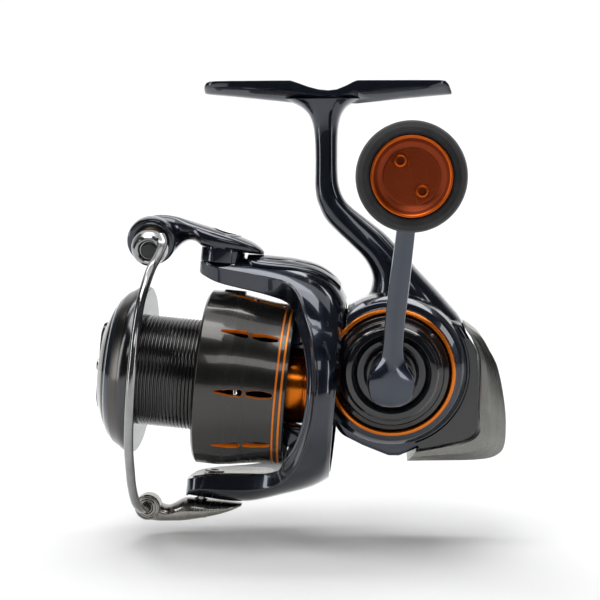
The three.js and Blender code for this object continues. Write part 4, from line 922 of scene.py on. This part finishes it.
spool = lathe("spool_shell", prof, [GUN, DRUM, ORANGE_E], SHAFT, "x", 216, sm, 28)


def slot_cutter(name, outline, phi):
    """Outline in (s, lateral mm at r 24) made into a tapered plug through the skirt, wider outside."""
    n = len(outline)
    cx = sum(p[0] for p in outline) / n
    verts = []
    for dr, grow in ((1.2, 0.62), (0.0, 0.26), (-0.9, -0.02), (-3.4, -0.02)):
        for i, (s, y) in enumerate(outline):
            # outward normal of the outline
            a, b = outline[i - 1], outline[(i + 1) % n]
            tx, ty = b[0] - a[0], b[1] - a[1]
            L = math.hypot(tx, ty)
            nx, ny = ty / L, -tx / L
            ss, yy = s + nx * grow, y + ny * grow
            r = interp(min(max(ss, 18.3), 43), SK) + dr
            t = math.radians(phi) + yy / 24.0
            verts.append((ss, -r * math.cos(t), r * math.sin(t)))
    faces = [tuple(range(n)), tuple(range(4 * n - 1, 3 * n - 1, -1))]
    for k in range(3):
        faces += [(k * n + i, (k + 1) * n + i, (k + 1) * n + (i + 1) % n, k * n + (i + 1) % n) for i in range(n)]
    return make(name, verts, faces, ORANGE_E, SHAFT, None, 30)


def teardrop():
    # pointed at the front, blunt at the back
    pts = []
    for t in np.linspace(0, 1, 10):
        pts.append((23.6 + 6.9 * t, -(0.10 + 0.80 * math.sin(t * math.pi / 2) ** 1.2)))
    pts += [(30.95, -0.62), (31.1, 0.0), (30.95, 0.62)]
    for t in np.linspace(1, 0, 10):
        pts.append((23.6 + 6.9 * t, 0.10 + 0.80 * math.sin(t * math.pi / 2) ** 1.2))
    return pts


def oval():
    pts = []
    for t in np.linspace(0, 1, 10):
        pts.append((32.3 + 6.6 * t, -(0.55 + 0.42 * math.sin(t * math.pi))))
    pts += [(39.2, -0.35), (39.25, 0.0), (39.2, 0.35)]
    for t in np.linspace(1, 0, 10):
        pts.append((32.3 + 6.6 * t, 0.55 + 0.42 * math.sin(t * math.pi)))
    pts += [(32.05, 0.0)]
    return pts


cutters = []
for k in range(9):
    phi = k * 40 - 1.0
    cutters.append(slot_cutter("s%d" % k, teardrop(), phi))
    cutters.append(slot_cutter("o%d" % k, oval(), phi))
for c in cutters[1:]:
    c.select_set(False)
# one joined cutter, so the boolean runs once
bm = bmesh.new()
for c in cutters:
    bm.from_mesh(c.data)
jm = bpy.data.meshes.new("slots")
bm.to_mesh(jm)
bm.free()
for c in cutters:
    bpy.data.objects.remove(c)
joined = link(jm, "slots", [ORANGE_E])
boolean(spool, [joined], "DIFFERENCE", 28, True)
clipcut = boxm("cc", 21.2, 27.8, -27, -20, -2.2, 2.2, GUN, SHAFT @ Matrix.Rotation(math.radians(-93), 4, "X"))
boolean(spool, [clipcut], "DIFFERENCE", 28)
piece(spool, "spool", "gunmetal", "spool_body")
clip = boxm("line_clip_block", 21.5, 27.5, -25.35, -23.1, -1.9, 1.9, BLACK_S, SHAFT @ Matrix.Rotation(math.radians(-93), 4, "X"))
bevel(clip, 0.3, 3)
piece(clip, "spool", "black_gloss", "line_clip")

# painted reflection: each lip band takes a material copying the reflection seen there, a painted highlight, a lighter
# painted reflection, and navy and black painted reflection bands on the lip metal
lp = [(15.3, 0.2), (23.2, 0.2), (23.75, -0.1), (24.0, -0.8), (24.0, -1.7), (23.75, -2.6), (23.2, -3.5), (22.95, -3.62), (22.2, -5.0), (21.6, -5.9), (21.35, -6.0), (20.9, -6.75), (20.2, -7.4), (19.95, -7.45), (19.2, -7.95), (18.9, -7.9), (18.9, -2.4), (15.3, -2.4)]
#         0            1            2             3             4             5             6            7              8            9            10            11            12             13             14           15            16         17
lip_reflection_bands = [4, 0, 0, 0, 0, 0, 3, 1, 1, 3, 2, 2, 4, 5, 5, 3, 3, 3]
lipo = lathe("spool_lip", lp, [LIPM, LIP_REFLECTION, NAVY_LIT, BLACK_S, LIP_HIGHLIGHT, BLACK], SHAFT, "x", 192, lip_reflection_bands, 24)
piece(lipo, "spool", "gunmetal", "spool_lip_ring")
slv = lathe("orange_hub_sleeve", fillet([(9.95, 36.6), (10.6, 36.6), (10.8, 36.9), (10.8, 46.9), (10.6, 47.05), (10.6, 47.4), (10.8, 47.55), (10.8, 49.0), (10.6, 49.2), (9.95, 49.2)], [0, 0.1, 0.1, 0.05, 0.05, 0.05, 0.05, 0.1, 0.1, 0], 3), ORANGE_S, SHAFT, "x", 160)
piece(slv, "rotor", "orange_anodised", "hub_sleeve")

# drag knob
kp = [(0, -12.4), (3.4, -12.35), (6.6, -12.05), (9.4, -11.55), (11.9, -10.95), (13.4, -10.5), (13.9, -10.6), (15.0, -10.1), (16.6, -9.4), (17.9, -8.75), (18.45, -8.2), (18.5, -7.2), (18.5, -2.8), (15.2, -2.8), (12.6, -2.2), (11.6, -2.2), (11.6, -6.0), (9.0, -7.4), (0, -7.4)]
kf = fillet(kp, [0, 8, 8, 8, 4, 0.25, 0.25, 2, 2, 1, 0.4, 0, 0, 0, 0, 0, 0, 0, 0], 4)
dk = lathe("drag_knob_dome", kf, [BLACK, LIPM], SHAFT, "x", 160)
bar = loft("kb", [[(-10.0 - q * 0, y, v) for y, v in sect(w, -13.6, 13.6, 40, 4)] for q, w in ((0, 3.2),)] + [[(x, y, v) for y, v in sect(w, -h, h, 40, 4)] for x, w, h in ((-12.3, 2.5, 12.2), (-12.85, 2.1, 10.6), (-13.0, 1.5, 9.4))], BLACK, SHAFT, 30)
boolean(dk, [bar], "UNION", 30)
dot = lathe("kd", fillet([(0, -13.6), (1.4, -13.6), (1.7, -13.4), (1.7, -12.5), (0, -12.5)], [0, 0.1, 0.1, 0, 0], 3), DCHROME, SHAFT, "x", 48)
boolean(dk, [dot], "UNION", 30, True)
piece(dk, "drag_knob", "black_gloss", "drag_knob")

# ------------------------------------------------------------------ carried-over CAD nodes: procedural finishes
FIN = {
    "steel": STEEL, "brass": BRASS, "white_plastic": ACETAL, "felt": FELT, "navy_paint": NAVY, "silver_metal": SILVER_D, "black_gloss": BLACK, "orange_anodised": ORANGE_S, "gunmetal": GUN, "chrome": CHROME, "foam": FOAM,
}
slots = {p["node"]: p["material_slot"] for p in frame["record"]["subparts"]}
for name, ob in frame["nodes"].items():
    m = FIN[slots[name]]
    ob.data.materials.clear()
    ob.data.materials.append(m)

# ------------------------------------------------------------------ stage and light
fz = b0[0][2] - 0.004 if hasattr(b0[0], "__len__") else -0.132
W = 3.0
stage_pts = []
for k in range(25):
    t = k / 24
    if t < 0.4:
        stage_pts.append((-1.2 + (0.9 + 1.2) * t / 0.4, fz))
    elif t < 0.7:
        q = (t - 0.4) / 0.3 * math.pi / 2
        stage_pts.append((0.9 + 0.6 * math.sin(q), fz + 0.6 * (1 - math.cos(q))))
    else:
        stage_pts.append((1.5, fz + 0.6 + (t - 0.7) / 0.3 * 2.2))
vs = [(x, y, z) for x in (-W, W) for y, z in stage_pts]
n = len(stage_pts)
me = bpy.data.meshes.new("studio_floor")
me.from_pydata(vs, [], [(i, i + 1, n + i + 1, n + i) for i in range(n - 1)])
sm_, nt, bs = new_mat("pale_floor")
v = coords(nt)
nt.links.new(mix(nt, maprange(nt, noise(nt, v, 3, 3), 0, 1, 0.3, 0.7), (0.90, 0.90, 0.90), (0.93, 0.93, 0.93)), bs.inputs["Base Color"])
bs.inputs["Roughness"].default_value = 0.9
bs.inputs["Specular IOR Level"].default_value = 0.1
floor = link(me, "studio_floor", [sm_], 60)

world = bpy.data.worlds.new("studio")
bpy.context.scene.world = world
world.use_nodes = True
world.node_tree.nodes["Background"].inputs[0].default_value = (0.92, 0.95, 1.0, 1)
world.node_tree.nodes["Background"].inputs[1].default_value = 0.07


def area(name, loc, target, sx, sy, power, color=(1, 1, 1)):
    d = bpy.data.lights.new(name, "AREA")
    d.shape, d.size, d.size_y, d.energy, d.color = "RECTANGLE", sx, sy, power, color
    o = bpy.data.objects.new(name, d)
    bpy.context.collection.objects.link(o)
    o.location = loc
    o.rotation_euler = (Vector(target) - Vector(loc)).to_track_quat("-Z", "Y").to_euler()
    return o


ctr = (0, 0, -0.06)
area("key_top", (-0.15, -0.25, 0.75), ctr, 0.6, 0.35, 3.0)
area("strip_left", (-0.70, -0.30, 0.05), ctr, 0.12, 0.9, 1.8)
area("strip_right", (0.62, -0.55, 0.0), ctr, 0.10, 0.8, 1.2)
area("front_soft", (0.15, -1.05, 0.55), ctr, 0.6, 0.22, 1.1)
area("low_fill", (-0.2, -0.5, -0.45), ctr, 0.6, 0.12, 0.2)
area("backdrop_light", (0, 0.6, 1.4), (0, 1.5, 0.2), 2.6, 0.5, 19)
area("floor_light", (0, 0.35, 1.5), (0, 0.35, -0.3), 2.4, 1.5, 14)

sc_ = bpy.context.scene
sc_.view_settings.view_transform = "Standard"
sc_.view_settings.look = "None"

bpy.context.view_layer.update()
